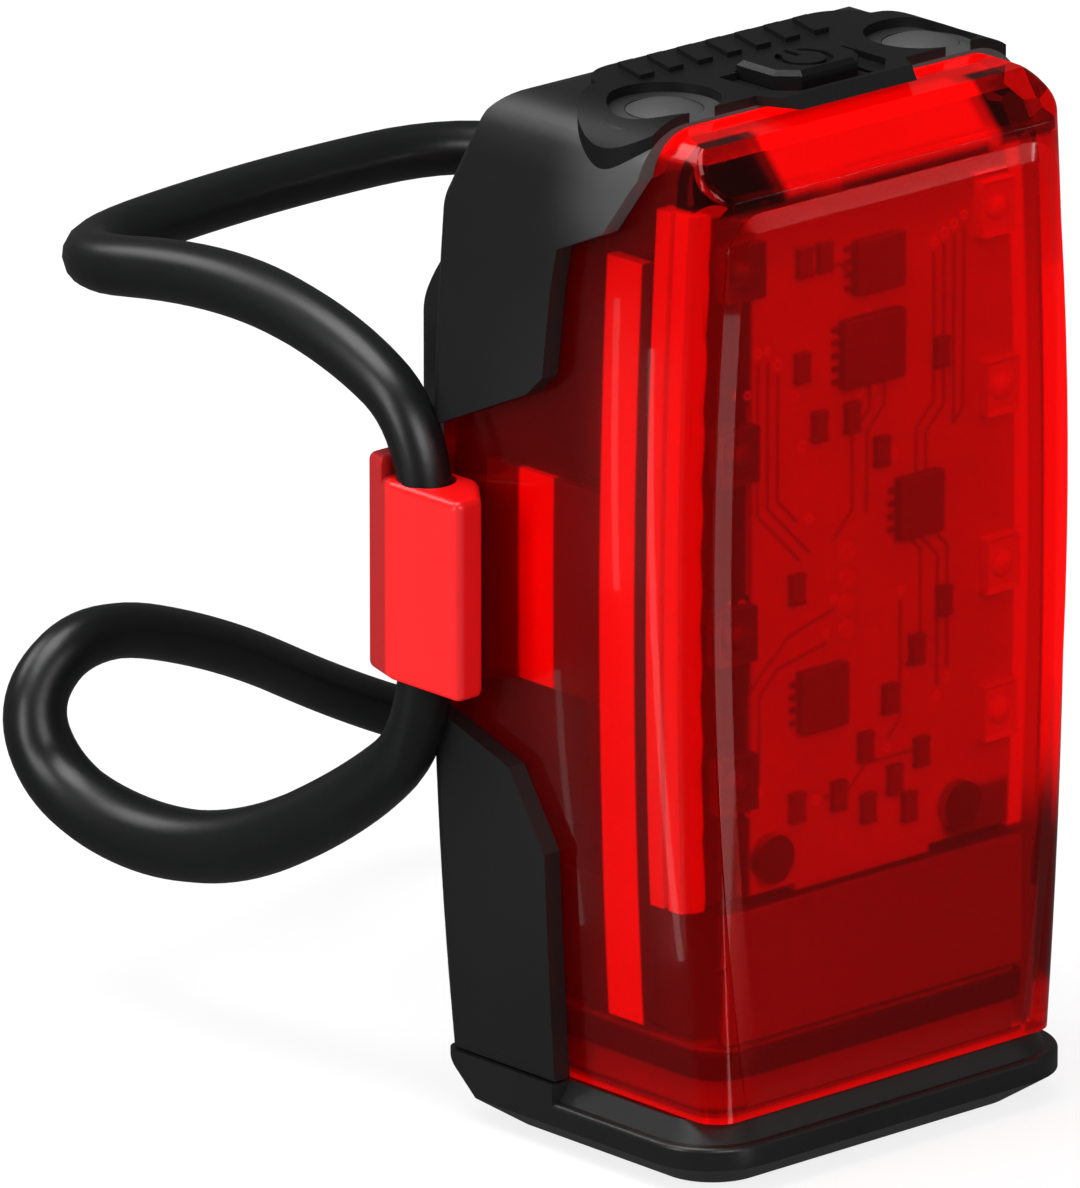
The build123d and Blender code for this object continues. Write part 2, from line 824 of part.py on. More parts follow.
def bent_strip(outer_gap, thickness, front, rear, bottom, top):
    """An upright strip on the left that follows the bulging inner face of the lens."""
    outer = lens_half - lens_wall - outer_gap
    inner = outer - thickness
    low = foot_level - overrun
    high = top_level
    outside = ThreePointArc((-half_at(low, outer), low), (-outer, barrel_level),
                            (-half_at(high, outer), high))
    inside = ThreePointArc((-half_at(high, inner), high), (-inner, barrel_level),
                           (-half_at(low, inner), low))
    upper = Line((-half_at(high, outer), high), (-half_at(high, inner), high))
    lower = Line((-half_at(low, inner), low), (-half_at(low, outer), low))
    strip = along_y(make_face([outside, upper, inside, lower]), front, rear)
    return strip & block(-housing_half, 0, front, rear, bottom, top)


def rail_outer():
    """Outer face of the frame's two rails, just inside the light guides."""
    room = half_at(rail_top, lens_half - lens_wall - guide_gap - guide_thickness)
    return room - rail_outer_gap


def inner_frame():
    """The black frame that carries the board, the battery and the screws."""
    half = lens_inner_half(frame_bottom) - frame_side_gap - reflector_thickness
    front = lens_front + lens_wall + frame_front_gap
    shell = block(-half, half, front, frame_rear, frame_bottom, frame_top)
    shell = shell - block(-half + frame_wall, half - frame_wall, front + frame_wall,
                          frame_rear - frame_wall, frame_bottom - overrun, frame_top - frame_wall)
    slot = block(-board_tail_half - board_gap, board_tail_half + board_gap,
                 board_front - board_gap, board_rear + port_depth + board_gap,
                 frame_bottom, frame_top + overrun)
    rail_inner = rail_outer() - rail_width
    frame = shell - slot
    for side in (-1, 1):
        inner = side * rail_inner
        outer = side * rail_outer()
        rail = block(min(inner, outer), max(inner, outer), board_rear + joint_gap, rail_rear,
                     frame_top - frame_wall, rail_top)
        boss = pin(side * screw_x, screw_y, boss_radius, boss_bottom, rail_top)
        frame = frame + rail + boss
        frame = frame - pin(side * screw_x, screw_y, screw_radius + screw_hole_gap,
                            counterbore_level - screw_length - screw_radius, rail_top)
        post_x = side * board_screw_x
        depth = web_front + web_thickness / 2 - board_rear - joint_gap
        post = Pos(post_x, board_rear + joint_gap + depth / 2, board_screw_level)
        frame = frame + post * Rot(90, 0, 0) * Cylinder(board_boss_radius, depth)
    web = block(-rail_inner, rail_inner, web_front, web_front + web_thickness,
                frame_top - frame_wall, web_top)
    frame = frame + web
    for side in (-1, 1):
        hole = Pos(side * board_screw_x, board_rear, board_screw_level) * Rot(90, 0, 0)
        frame = frame - hole * Cylinder(board_screw_radius + screw_hole_gap,
                                        (board_screw_length + joint_gap) * 2)
    guide_room = bent_strip(guide_gap - joint_gap, guide_thickness + joint_gap * 2,
                            guide_front, guide_rear + joint_gap, guide_bottom - joint_gap,
                            guide_top + joint_gap)
    return frame - guide_room - mirrored(guide_room)


# Circuit board and what sits on it
def board_half(level):
    """Half width of the board at a level, just inside the light guides."""
    return half_at(level, lens_half - lens_wall - guide_gap - guide_thickness - board_gap)


def circuit_board():
    """The board, with bulging sides and a narrow tail down to the charging socket."""
    top = board_half(board_top)
    shoulder = board_half(board_shoulder)
    widest = board_half(barrel_level)
    right = ThreePointArc((shoulder, board_shoulder), (widest, barrel_level), (top, board_top))
    left = ThreePointArc((-top, board_top), (-widest, barrel_level), (-shoulder, board_shoulder))
    tail = Polyline((-shoulder, board_shoulder), (-board_tail_half, board_shoulder),
                    (-board_tail_half, board_tail_bottom), (board_tail_half, board_tail_bottom),
                    (board_tail_half, board_shoulder), (shoulder, board_shoulder))
    upper = Line((top, board_top), (-top, board_top))
    board = along_y(make_face([right, upper, left, tail]), board_front, board_rear)
    for side in (-1, 1):
        hole = Pos(side * board_screw_x, board_front, board_screw_level) * Rot(90, 0, 0)
        board = board - hole * Cylinder(board_screw_radius + screw_hole_gap, board_thickness * 4)
    return board


def leds():
    """Four lamps down each side of the board, each with a small clear dome."""
    solids = []
    for share in led_levels_shares:
        level = share * top_level
        x = board_half(level) - led_width / 2 - led_margin
        for side in (-1, 1):
            middle = side * x
            body = block(middle - led_width / 2, middle + led_width / 2, board_front - led_depth,
                         board_front, level - led_height / 2, level + led_height / 2)
            dome = Pos(middle, board_front - led_depth - led_lens_height / 2, level)
            dome = dome * Rot(90, 0, 0) * Cylinder(led_lens_radius, led_lens_height)
            solids.append(single(body + dome))
    return Compound(children=solids)


def control_chips():
    """The larger parts on the board."""
    solids = []
    for x, z, width, height in chip_shares:
        half = board_half(z * top_level)
        solids.append(block(x * half - width * half / 2, x * half + width * half / 2,
                            board_front - chip_depth, board_front,
                            (z - height / 2) * top_level, (z + height / 2) * top_level))
    return Compound(children=[s.solid() for s in solids])


def board_components():
    """The small parts on the board."""
    solids = []
    for x, z in small_shares:
        middle = x * board_half(z * top_level)
        level = z * top_level
        part = block(middle - small_width / 2, middle + small_width / 2,
                     board_front - small_depth, board_front,
                     level - small_height / 2, level + small_height / 2)
        solids.append(part.solid())
    return Compound(children=solids)


def test_pads():
    """A short column of round pads."""
    solids = []
    for index in range(pad_count):
        place = Pos(pad_x, board_front - pad_thickness / 2, pad_level - index * pad_pitch)
        solids.append((place * Rot(90, 0, 0) * Cylinder(pad_radius, pad_thickness)).solid())
    return Compound(children=solids)


def board_screws():
    """Two screws that hold the board to the frame."""
    solids = []
    for side in (-1, 1):
        x = side * board_screw_x
        head = Pos(x, board_front - board_screw_head / 2, board_screw_level) * Rot(90, 0, 0)
        shank = Pos(x, board_front + board_screw_length / 2, board_screw_level) * Rot(90, 0, 0)
        screw = head * Cylinder(board_screw_head_radius, board_screw_head)
        solids.append(single(screw + shank * Cylinder(board_screw_radius, board_screw_length)))
    return Compound(children=solids)


# Light guides and reflectors
def light_guide():
    """The clear strip beside the board on the left, with one long groove."""
    guide = bent_strip(guide_gap, guide_thickness, guide_front, guide_rear, guide_bottom, guide_top)
    slot_front = guide_front + guide_groove_inset
    groove = bent_strip(guide_gap - overrun, overrun + guide_groove,
                        slot_front, slot_front + guide_groove_width,
                        guide_bottom - overrun / 2, guide_top + overrun / 2)
    return guide - groove


def side_reflector():
    """The bright strip behind the light guide on the left, with a wing to the side window."""
    strip = bent_strip(guide_gap, reflector_thickness, reflector_front, reflector_rear,
                       reflector_bottom, reflector_top)
    wing = bent_strip(guide_gap, wing_thickness, reflector_rear - joint_gap, wing_rear,
                      wing_bottom, wing_top)
    return strip + wing


# Battery
def battery_front():
    """Place of the battery's front face, against the web of the frame."""
    return web_front + web_thickness + battery_gap


def battery_cell():
    """A flat cell with rounded long edges."""
    front = battery_front()
    battery_half = rail_outer() - rail_width - battery_side_gap
    cell = block(-battery_half, battery_half, front, front + battery_thickness,
                 battery_bottom, battery_top)
    return fillet(cell.edges().filter_by(Axis.Z), battery_round)


def battery_foam():
    """The foam between the cell and the back of the housing."""
    front = battery_front() + battery_thickness
    pad = block(-foam_half, foam_half, front, rear_face, foam_bottom, foam_bottom + foam_height)
    pad = pad - saddle_trough(trough_radius + saddle_wall + joint_gap, foot_level, top_level)
    return pad


def battery_leads():
    """Two leads from the cell, over the web, to the board."""
    solids = []
    start = battery_front() + lead_bend + lead_diameter
    for side in (-1, 1):
        x = side * lead_x
        path = FilletPolyline((x, start, battery_top), (x, start, lead_level),
                              (x, board_rear, lead_level), radius=lead_bend)
        profile = Plane(origin=(x, start, battery_top), z_dir=(0, 0, 1)) * Circle(lead_diameter / 2)
        solids.append(sweep(profile, path=path).solid())
    return Compound(children=solids)


# Charging socket
def port_plan(inset):
    """Plan of the socket with two cut corners at the rear."""
    half = port_half - inset
    front = board_rear + inset
    rear = board_rear + port_depth - inset
    return polygon([(-half, front), (half, front), (half, rear - port_corner),
                    (half - port_corner, rear), (-half + port_corner, rear),
                    (-half, rear - port_corner)])


def charge_port_shell():
    """The folded steel shell of the charging socket, open downwards."""
    top = port_bottom + port_height
    shell = along_z(port_plan(0), port_bottom, top)
    return shell - along_z(port_plan(port_wall), port_bottom - overrun, top - port_wall)


def charge_port_tongue():
    """The black tongue inside the socket, with its block at the back."""
    top = port_bottom + port_height - port_wall
    middle = board_rear + port_depth / 2
    tongue = block(-port_tongue_half, port_tongue_half, middle - port_tongue_thickness / 2,
                   middle + port_tongue_thickness / 2, top - port_tongue_height, top)
    base = along_z(port_plan(port_wall), top - port_wall * 2, top)
    return tongue + base


def charge_port_contacts():
    """The contacts on the front of the tongue."""
    solids = []
    top = port_bottom + port_height - port_wall * 3
    front = board_rear + port_depth / 2 - port_tongue_thickness / 2
    for index in range(contact_count):
        x = (index - (contact_count - 1) / 2) * contact_pitch
        bottom = port_bottom + port_height - port_wall - port_tongue_height + contact_width
        contact = block(x - contact_width / 2, x + contact_width / 2,
                        front - contact_thickness, front, bottom, top)
        solids.append(contact.solid())
    return Compound(children=solids)


# End cap
def cap_plan(inset):
    """Plan of the cap with large front corners, drawn in by an inset."""
    half = cap_half - inset
    face = polygon([(-half, cap_front + inset), (half, cap_front + inset),
                    (half, cap_rear - inset), (-half, cap_rear - inset)])
    corners = face.vertices().group_by(Axis.Y)
    face = fillet(corners[0], cap_front_round - inset / 2)
    corners = [v for v in face.vertices() if v.Y > cap_rear - inset - cap_rear_round / 2]
    return fillet(corners, cap_rear_round)


def cap_level(inset, level):
    """One slice of the cap at a level."""
    return Pos(0, 0, level) * cap_plan(inset)


def end_cap():
    """The rubber cap: a chamfered foot, a lip, a sloped ledge and a hollow spigot with a rib."""
    foot = loft([cap_level(cap_bottom_inset, 0).face(), cap_level(0, cap_chamfer_height).face()],
                ruled=True)
    lip = along_z(cap_plan(0), cap_chamfer_height, cap_lip_level)
    lip_edges = [e for e in lip.edges() if e.center().Z > cap_lip_level - cap_step]
    lip = fillet(lip_edges, cap_lip_round)
    upper = along_z(cap_plan(0), cap_lip_level - cap_lip_round, cap_top)
    behind = block(-cap_half, cap_half, cap_ledge_rear, cap_rear, 0, cap_top)
    ledge = loft([cap_level(cap_step, cap_lip_level - cap_step).face(),
                  cap_level(cap_ledge_inset, cap_top).face()], ruled=True)
    cap = foot + lip + (upper & behind) + ledge
    rear_cut = polygon([(cap_rear, cap_foot_height), (cap_rear - cap_foot_inset, 0),
                        (cap_rear - cap_foot_inset, -overrun), (cap_rear + overrun, -overrun),
                        (cap_rear + overrun, cap_foot_height)])
    cap = cap - along_x(rear_cut, -cap_half, cap_half)
    return cap + spigot()


def spigot_ring(gap, bottom, top):
    """A ring that follows the hollow of the light at its foot."""
    half = lens_inner_half(foot_level) - gap
    front = lens_front + lens_wall + gap
    rear = rear_at(foot_level) - housing_wall - gap
    outside = block(-half, half, front, rear, bottom, top)
    outside = fillet(outside.edges().filter_by(Axis.Z), spigot_round)
    wall = spigot_wall + spigot_gap - gap
    return outside - block(-half + wall, half - wall, front + wall, rear - wall,
                           bottom - overrun, top + overrun)


def spigot():
    """The hollow plug of the cap with one sealing rib."""
    ring = spigot_ring(spigot_gap, cap_top - cap_step, spigot_top)
    rib = spigot_ring(rib_gap, rib_low, rib_low + rib_height)
    return ring + rib


# Saddle
def mount_pad():
    """The rubber saddle behind the housing that sits on a round post."""
    inner = rear_face - housing_wall * 2
    outer = rear_face + pad_edge
    slope_end = (pad_reach, pad_top - pad_top_slope)
    bulge = ((outer + pad_reach + pad_bulge) / 2, pad_top - (pad_top_slope - pad_bulge) / 2)
    top_arc = ThreePointArc(slope_end, bulge, (outer, pad_top))
    rest = Polyline((outer, pad_top), (inner, pad_top), (inner, pad_bottom), (outer, pad_bottom),
                    (pad_reach, pad_bottom + pad_bottom_slope), slope_end)
    plan = polygon([(-pad_half, inner), (pad_half, inner), (pad_half, pad_reach),
                    (-pad_half, pad_reach)])
    plan = fillet(plan.vertices().group_by(Axis.Y)[-1], pad_corner)
    pad = along_x(make_face([top_arc, rest]), -pad_half, pad_half)
    pad = pad & along_z(plan, pad_bottom, pad_top)
    backing = saddle_trough(trough_radius, pad_bottom, pad_top) & pad
    body = pad - housing_shape(0, 0, foot_level - overrun) + backing
    return body - saddle_trough(post_size_radius, foot_level, top_level)


# Strap tab and strap
def tab_plan():
    """Plan of the tab: a thin nose in front, full thickness about the strap, a slanted tail."""
    face = polygon([(-tab_outer_face, tab_front), (-tab_outer_face + tab_nose, tab_front),
                    (-tab_inner_face, tab_front + tab_nose_run), (-tab_inner_face, tab_rear),
                    (-tab_outer_face + tab_tail_side, tab_rear),
                    (-tab_outer_face, tab_rear - tab_tail_run)])
    outer = [v for v in face.vertices() if v.X < -tab_inner_face - tab_nose / 2]
    return fillet(outer, tab_corner)


def strap_tab():
    """The red tab with its ear behind the strap, two strap sockets and the slot for the hook."""
    tab = along_z(tab_plan(), tab_bottom, tab_top)
    rims = [e for e in tab.edges() if e.center().X < -strap_x
            and abs(e.center().Z - hook_level) > (tab_height - tab_edge) / 2]
    tab = fillet(rims, tab_edge)
    ear = along_z(tab_plan(), tab_top - tab_corner * 2, tab_top + tab_ear_height)
    ear = ear & block(-tab_outer_face, -tab_inner_face, tab_rear - tab_ear_depth, tab_rear,
                      tab_bottom, tab_top + tab_ear_height)
    ear = fillet(ear.faces().sort_by(Axis.Z)[-1].edges(), tab_edge)
    tab = tab + ear
    socket = strap_diameter / 2 + tab_socket_gap
    tab = tab - pin(-strap_x, post_y, socket, tab_top - tab_socket_depth, tab_top + overrun)
    tab = tab - pin(-strap_x, post_y, socket, tab_bottom - overrun, tab_bottom + tab_socket_depth)
    slot = block(-tab_inner_face - hook_reach - hook_gap, -tab_inner_face + overrun,
                 hook_front - hook_gap, rear_face + hook_gap,
                 hook_level - hook_height / 2 - hook_gap, hook_level + hook_height / 2 + hook_gap)
    return tab - slot


def strap_route():
    """The strap from the top of the tab, round behind, about the post and back to the tab."""
    return [(-17.25, 11.0, 36.75), (-17.25, 11.0, 43.4), (-17.25, 18.8, 47.4),
            (-17.3, 29.5, 49.0), (-18.2, 44.6, 46.8), (-1.0, 44.9, 47.8), (17.0, 43.4, 47.9),
            (17.2, 30.0, 46.3), (17.25, 17.0, 41.75), (17.25, 5.3, 38.24), (17.25, 5.3, 29.05),
            (17.25, 18.0, 27.26), (17.0, 31.0, 20.0), (17.3, 41.0, 12.2), (16.9, 48.0, 8.5),
            (10.5, 50.2, 11.4), (-1.5, 47.7, 18.0), (-12.8, 46.9, 22.0), (-18.0, 47.5, 18.1),
            (-17.8, 44.5, 13.0), (-17.4, 36.0, 11.4), (-17.25, 27.0, 13.2),
            (-17.25, 17.2, 18.9), (-17.25, 11.0, 24.4), (-17.25, 11.0, 31.25)]


def bend_radii(points, at_post):
    """The radius at each corner, as large as its two runs allow, or the post's own."""
    radii = []
    for index in range(1, len(points) - 1):
        before = Vector(*points[index]) - Vector(*points[index - 1])
        after = Vector(*points[index + 1]) - Vector(*points[index])
        turn = radians(before.get_angle(after))
        shorter = min(before.length, after.length)
        radius = strap_bend_share * shorter / tan(turn / 2)
        radii.append(at_post if index in (9, 10) else radius)
    return radii


def strap():
    """The round rubber strap along its route."""
    points = strap_route()
    radii = bend_radii(points, strap_post_radius)
    path = FilletPolyline(*points, radius=radii)
    section = Plane(origin=path @ 0, z_dir=path % 0) * Circle(strap_diameter / 2)
    tube = sweep(section, path=path)
    print("strap radii", [round(r, 1) for r in radii])
    expected = pi * strap_diameter ** 2 / 4 * path.length
    print("strap length", round(path.length, 1), "volume share", round(tube.volume / expected, 4))
    return tube


# Writing
def save(shape, name):
    """One node, one file."""
    export_step(single(shape), "parts/" + name + ".step")


guide = light_guide()
reflector = side_reflector()
save(rear_housing(), "rear_housing")
save(front_lens(), "front_lens")
save(top_cover(), "top_cover")
save(power_button(), "power_button")
save(switch_plunger(), "switch_plunger")
save(tact_switch(), "tact_switch")
save(case_screws(), "case_screws")
save(screw_plugs(), "screw_plugs")
save(inner_frame(), "inner_frame")
save(circuit_board(), "circuit_board")
save(leds(), "leds")
save(control_chips(), "control_chips")
save(board_components(), "board_components")
save(test_pads(), "test_pads")
save(board_screws(), "board_screws")
save(guide, "light_guide_left")
save(mirrored(guide), "light_guide_right")
save(reflector, "side_reflector_left")
save(mirrored(reflector), "side_reflector_right")
save(battery_cell(), "battery_cell")
save(battery_foam(), "battery_foam")
save(battery_leads(), "battery_leads")
save(charge_port_shell(), "charge_port_shell")
save(charge_port_tongue(), "charge_port_tongue")
save(charge_port_contacts(), "charge_port_contacts")
save(end_cap(), "end_cap")
save(mount_pad(), "mount_pad")
save(strap_tab(), "strap_tab")
save(strap(), "strap")
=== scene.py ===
# %% [markdown]
# # A bike rear light, dressed in Blender
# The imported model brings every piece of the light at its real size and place. This lesson gives
# each piece its finish: a deep red lens that shows the board inside, soft black rubber, a matte
# moulded housing, and one round rubber strap that is a single bent curve.

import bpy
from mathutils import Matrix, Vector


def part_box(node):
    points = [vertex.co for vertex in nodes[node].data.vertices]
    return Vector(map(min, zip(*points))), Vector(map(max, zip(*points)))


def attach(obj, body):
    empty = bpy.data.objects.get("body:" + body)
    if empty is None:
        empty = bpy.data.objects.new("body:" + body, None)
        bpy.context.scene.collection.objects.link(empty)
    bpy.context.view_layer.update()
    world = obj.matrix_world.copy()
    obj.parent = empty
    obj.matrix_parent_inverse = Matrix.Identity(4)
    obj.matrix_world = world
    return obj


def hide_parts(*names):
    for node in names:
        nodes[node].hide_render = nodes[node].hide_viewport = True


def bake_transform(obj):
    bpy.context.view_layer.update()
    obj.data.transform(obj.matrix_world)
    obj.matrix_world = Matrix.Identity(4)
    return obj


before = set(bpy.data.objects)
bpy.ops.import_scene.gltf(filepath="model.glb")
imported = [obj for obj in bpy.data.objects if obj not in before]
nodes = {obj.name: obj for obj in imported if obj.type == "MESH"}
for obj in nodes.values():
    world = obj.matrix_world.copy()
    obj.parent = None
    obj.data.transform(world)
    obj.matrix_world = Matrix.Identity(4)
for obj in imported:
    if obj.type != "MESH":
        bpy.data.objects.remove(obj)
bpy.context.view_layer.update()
print("pieces from the frame:", len(nodes))

# %% [markdown]
# ## Tools
# bpy holds Blender's data, bmesh edits meshes, and mathutils has vectors. All lengths are metres,
# so a small helper turns millimetres into metres and keeps the numbers readable.

# %% Tools
from math import cos, pi, radians, sin

import bmesh
import bpy
from mathutils import Matrix, Vector

scene = bpy.context.scene
MM = 0.001


def mm(*values):
    """Millimetres as a vector in metres."""
    return Vector([value * MM for value in values])


# %% [markdown]
# ## The camera
# The photograph looks at the light from its front left and a little above, from far away with a
# long lens, so upright edges stay parallel. A camera 1.2 m away with a very long focal length
# gives the same flat look. The aim point is the place that lies in the middle of the picture.

# %% The camera
PHOTO_WIDTH = 1080
PIXELS_PER_MM = 16.6
TURN = radians(42.3)
RISE = radians(17.73)
CAMERA_DISTANCE = 1.2
AIM = mm(0, 20.09, 27.26)
SENSOR_WIDTH = 36.0

seen_width = PHOTO_WIDTH / PIXELS_PER_MM * MM
camera_data = bpy.data.cameras.new("camera")
camera_data.sensor_fit = "HORIZONTAL"
camera_data.sensor_width = SENSOR_WIDTH
camera_data.lens = SENSOR_WIDTH * CAMERA_DISTANCE / seen_width
camera = bpy.data.objects.new("camera", camera_data)
scene.collection.objects.link(camera)
towards_camera = Vector((-sin(TURN) * cos(RISE), -cos(TURN) * cos(RISE), sin(RISE)))
camera.location = AIM + towards_camera * CAMERA_DISTANCE
camera.rotation_euler = (-towards_camera).to_track_quat("-Z", "Y").to_euler()
scene.camera = camera
scene.view_settings.view_transform = "Standard"
print("focal length in mm:", round(camera_data.lens))

# %% [markdown]
# ## The strap
# On the real light the strap is one round rubber cord of 3.3 mm. It leaves the top of the red
# tab, goes round behind the post, turns about the small post on the right, comes back behind and
# enters the tab from below. A NURBS spline of order 3 through listed points gives one smooth
# line. Rubber grows thinner where it is pulled and fatter where it is squeezed, so each point has
# its own thickness too. The curve is turned into a mesh tube, and the same line without its
# thickness gives the points that the tube follows, which measure the strap's length.

# %% The strap
STRAP_DIAMETER = 3.3
STRAP_STEPS = 10
STRAP_ROUNDNESS = 6
STRAP_ROUTE = [(-17.25, 11.0, 36.75), (-17.25, 11.0, 43.4), (-17.25, 18.8, 47.4),
               (-17.3, 29.5, 48.9), (-18.2, 44.5, 46.5), (-1.0, 44.9, 47.6), (17.0, 43.4, 47.8),
               (17.2, 30.0, 46.3), (17.25, 17.0, 41.75), (17.25, 5.3, 38.24), (17.25, 5.3, 29.05),
               (17.25, 18.0, 27.26), (17.0, 31.0, 20.0), (17.3, 41.0, 12.2), (16.9, 48.0, 8.5),
               (10.5, 50.2, 11.4), (-1.5, 47.7, 18.0), (-12.8, 46.7, 21.9), (-18.0, 46.9, 18.1),
               (-17.8, 44.1, 13.0), (-17.4, 36.0, 11.4), (-17.25, 27.0, 13.2),
               (-17.25, 17.2, 18.9), (-17.25, 11.0, 24.4), (-17.25, 11.0, 31.25)]
STRAP_SWELL = [1.0, 1.0, 1.14, 1.18, 1.08, 1.04, 1.02, 1.0, 1.0, 1.0, 1.0, 1.0, 1.0, 1.0, 1.0, 1.0, 1.0,
               1.06, 1.16, 1.32, 1.38, 1.34, 1.24, 1.0, 1.0]


def strap_curve(name, thickness):
    """The strap's spline, as a curve object with a round section or with none."""
    curve = bpy.data.curves.new(name, "CURVE")
    curve.dimensions = "3D"
    curve.resolution_u = STRAP_STEPS
    curve.bevel_depth = thickness / 2
    curve.bevel_resolution = STRAP_ROUNDNESS
    curve.use_fill_caps = True
    spline = curve.splines.new("NURBS")
    spline.points.add(len(STRAP_ROUTE) - 1)
    for point, place, swell in zip(spline.points, STRAP_ROUTE, STRAP_SWELL):
        point.co = (*mm(*place), 1)
        point.radius = swell
    spline.order_u = 3
    spline.use_endpoint_u = True
    holder = bpy.data.objects.new(name, curve)
    scene.collection.objects.link(holder)
    return holder


def mesh_of(holder):
    """The mesh that a curve or a modified object gives, as new data."""
    bpy.context.view_layer.update()
    evaluated = holder.evaluated_get(bpy.context.evaluated_depsgraph_get())
    return bpy.data.meshes.new_from_object(evaluated)


line_holder = strap_curve("strap_line", 0)
tube_holder = strap_curve("strap_tube", STRAP_DIAMETER * MM)
strap_line = [vertex.co.copy() for vertex in mesh_of(line_holder).vertices]
strap = bpy.data.objects.new("rubber_strap", mesh_of(tube_holder))
for holder in (line_holder, tube_holder):
    bpy.data.objects.remove(holder)
scene.collection.objects.link(strap)
for face in strap.data.polygons:
    face.use_smooth = True
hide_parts("strap")
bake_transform(strap)
measured = sum((b - a).length for a, b in zip(strap_line, strap_line[1:]))
print("strap length in mm:", round(measured / MM, 1))

# %% [markdown]
# ## Shared surface detail
# Moulded plastic and rubber are never mirror smooth: a fine spark texture breaks the highlight.
# One node group makes that grain for every material that wants it. It puts out a height for a
# Bump node and a mask for small changes of colour and roughness.

# %% Grain group
def new_group(name, inputs, outputs):
    """An empty shader node group with named sockets."""
    group = bpy.data.node_groups.new(name, "ShaderNodeTree")
    for label, kind, default in inputs:
        socket = group.interface.new_socket(label, in_out="INPUT", socket_type=kind)
        socket.default_value = default
    for label, kind in outputs:
        group.interface.new_socket(label, in_out="OUTPUT", socket_type=kind)
    start = group.nodes.new("NodeGroupInput")
    end = group.nodes.new("NodeGroupOutput")
    return group, start, end


grain_group, grain_in, grain_out = new_group(
    "surface_grain",
    [("Grain size", "NodeSocketFloat", 2500.0), ("Cloud size", "NodeSocketFloat", 90.0)],
    [("Height", "NodeSocketFloat"), ("Cloud", "NodeSocketFloat")])
place_node = grain_group.nodes.new("ShaderNodeTexCoord")
for label, source, detail in (("Height", "Grain size", 2.0), ("Cloud", "Cloud size", 3.0)):
    noise = grain_group.nodes.new("ShaderNodeTexNoise")
    noise.inputs["Detail"].default_value = detail
    grain_group.links.new(place_node.outputs["Object"], noise.inputs["Vector"])
    grain_group.links.new(grain_in.outputs[source], noise.inputs["Scale"])
    grain_group.links.new(noise.outputs["Fac"], grain_out.inputs[label])
print("node group made:", grain_group.name)

# %% [markdown]
# ## A moulded finish
# Most pieces share one recipe: a base colour that drifts a little, a roughness that drifts with
# it, and the grain as bump. The helper builds it for given values, and later cells change only
# those values.

# %% Moulded finish helper
ROUGHNESS_DRIFT = 0.12
GRAIN_STRENGTH = 0.35
COAT_ROUGHNESS = 0.12


def moulded(name, dark, light, roughness, grain_size=2500.0, grain_depth=0.02, cloud_size=90.0,
            gloss=0.5, coat=0.0, metallic=0.0, glow=0.0):
    """A material with cloudy colour between two tones, varied roughness and fine grain."""
    material = bpy.data.materials.new(name)
    material.use_nodes = True
    tree = material.node_tree
    shader = tree.nodes["Principled BSDF"]
    grain = tree.nodes.new("ShaderNodeGroup")
    grain.node_tree = grain_group
    grain.inputs["Grain size"].default_value = grain_size
    grain.inputs["Cloud size"].default_value = cloud_size
    tones = tree.nodes.new("ShaderNodeMix")
    tones.data_type = "RGBA"
    tones.inputs["A"].default_value = (*dark, 1)
    tones.inputs["B"].default_value = (*light, 1)
    tree.links.new(grain.outputs["Cloud"], tones.inputs["Factor"])
    tree.links.new(tones.outputs["Result"], shader.inputs["Base Color"])
    spread = tree.nodes.new("ShaderNodeMapRange")
    spread.inputs["To Min"].default_value = roughness * (1 - ROUGHNESS_DRIFT)
    spread.inputs["To Max"].default_value = min(roughness * (1 + ROUGHNESS_DRIFT), 1)
    tree.links.new(grain.outputs["Cloud"], spread.inputs["Value"])
    tree.links.new(spread.outputs["Result"], shader.inputs["Roughness"])
    bump = tree.nodes.new("ShaderNodeBump")
    bump.inputs["Strength"].default_value = GRAIN_STRENGTH
    bump.inputs["Distance"].default_value = grain_depth * MM
    tree.links.new(grain.outputs["Height"], bump.inputs["Height"])
    tree.links.new(bump.outputs["Normal"], shader.inputs["Normal"])
    shader.inputs["Specular IOR Level"].default_value = gloss
    shader.inputs["Coat Weight"].default_value = coat
    shader.inputs["Coat Roughness"].default_value = COAT_ROUGHNESS
    shader.inputs["Metallic"].default_value = metallic
    if glow > 0:
        shader.inputs["Emission Color"].default_value = (*light, 1)
        shader.inputs["Emission Strength"].default_value = glow
    return material


# %% [markdown]
# ## Masks by place
# The finish of a moulded piece often changes at a known place, such as a shoulder painted paler
# as a highlight. A ramp turns a coordinate into a mask from 0 to 1, two masks are combined, and
# the mask mixes another colour or a glow over what the material has. Coordinates come from the
# object itself, so the pattern stays on the piece when it moves.

# %% Mask helpers
def place_of(tree):
    """Where a point lies on the object: its X, Y and Z outputs, in metres."""
    place = tree.nodes.new("ShaderNodeTexCoord")
    parts = tree.nodes.new("ShaderNodeSeparateXYZ")
    tree.links.new(place.outputs["Object"], parts.inputs["Vector"])
    return parts.outputs["X"], parts.outputs["Y"], parts.outputs["Z"]


def ramp(tree, value, start, end, low=0.0, high=1.0, unit=MM):
    """A smooth change from low to high while a value runs from start to end, given in a unit."""
    node = tree.nodes.new("ShaderNodeMapRange")
    node.interpolation_type = "SMOOTHSTEP"
    node.inputs["From Min"].default_value = start * unit
    node.inputs["From Max"].default_value = end * unit
    node.inputs["To Min"].default_value = low
    node.inputs["To Max"].default_value = high
    tree.links.new(value, node.inputs["Value"])
    return node.outputs["Result"]


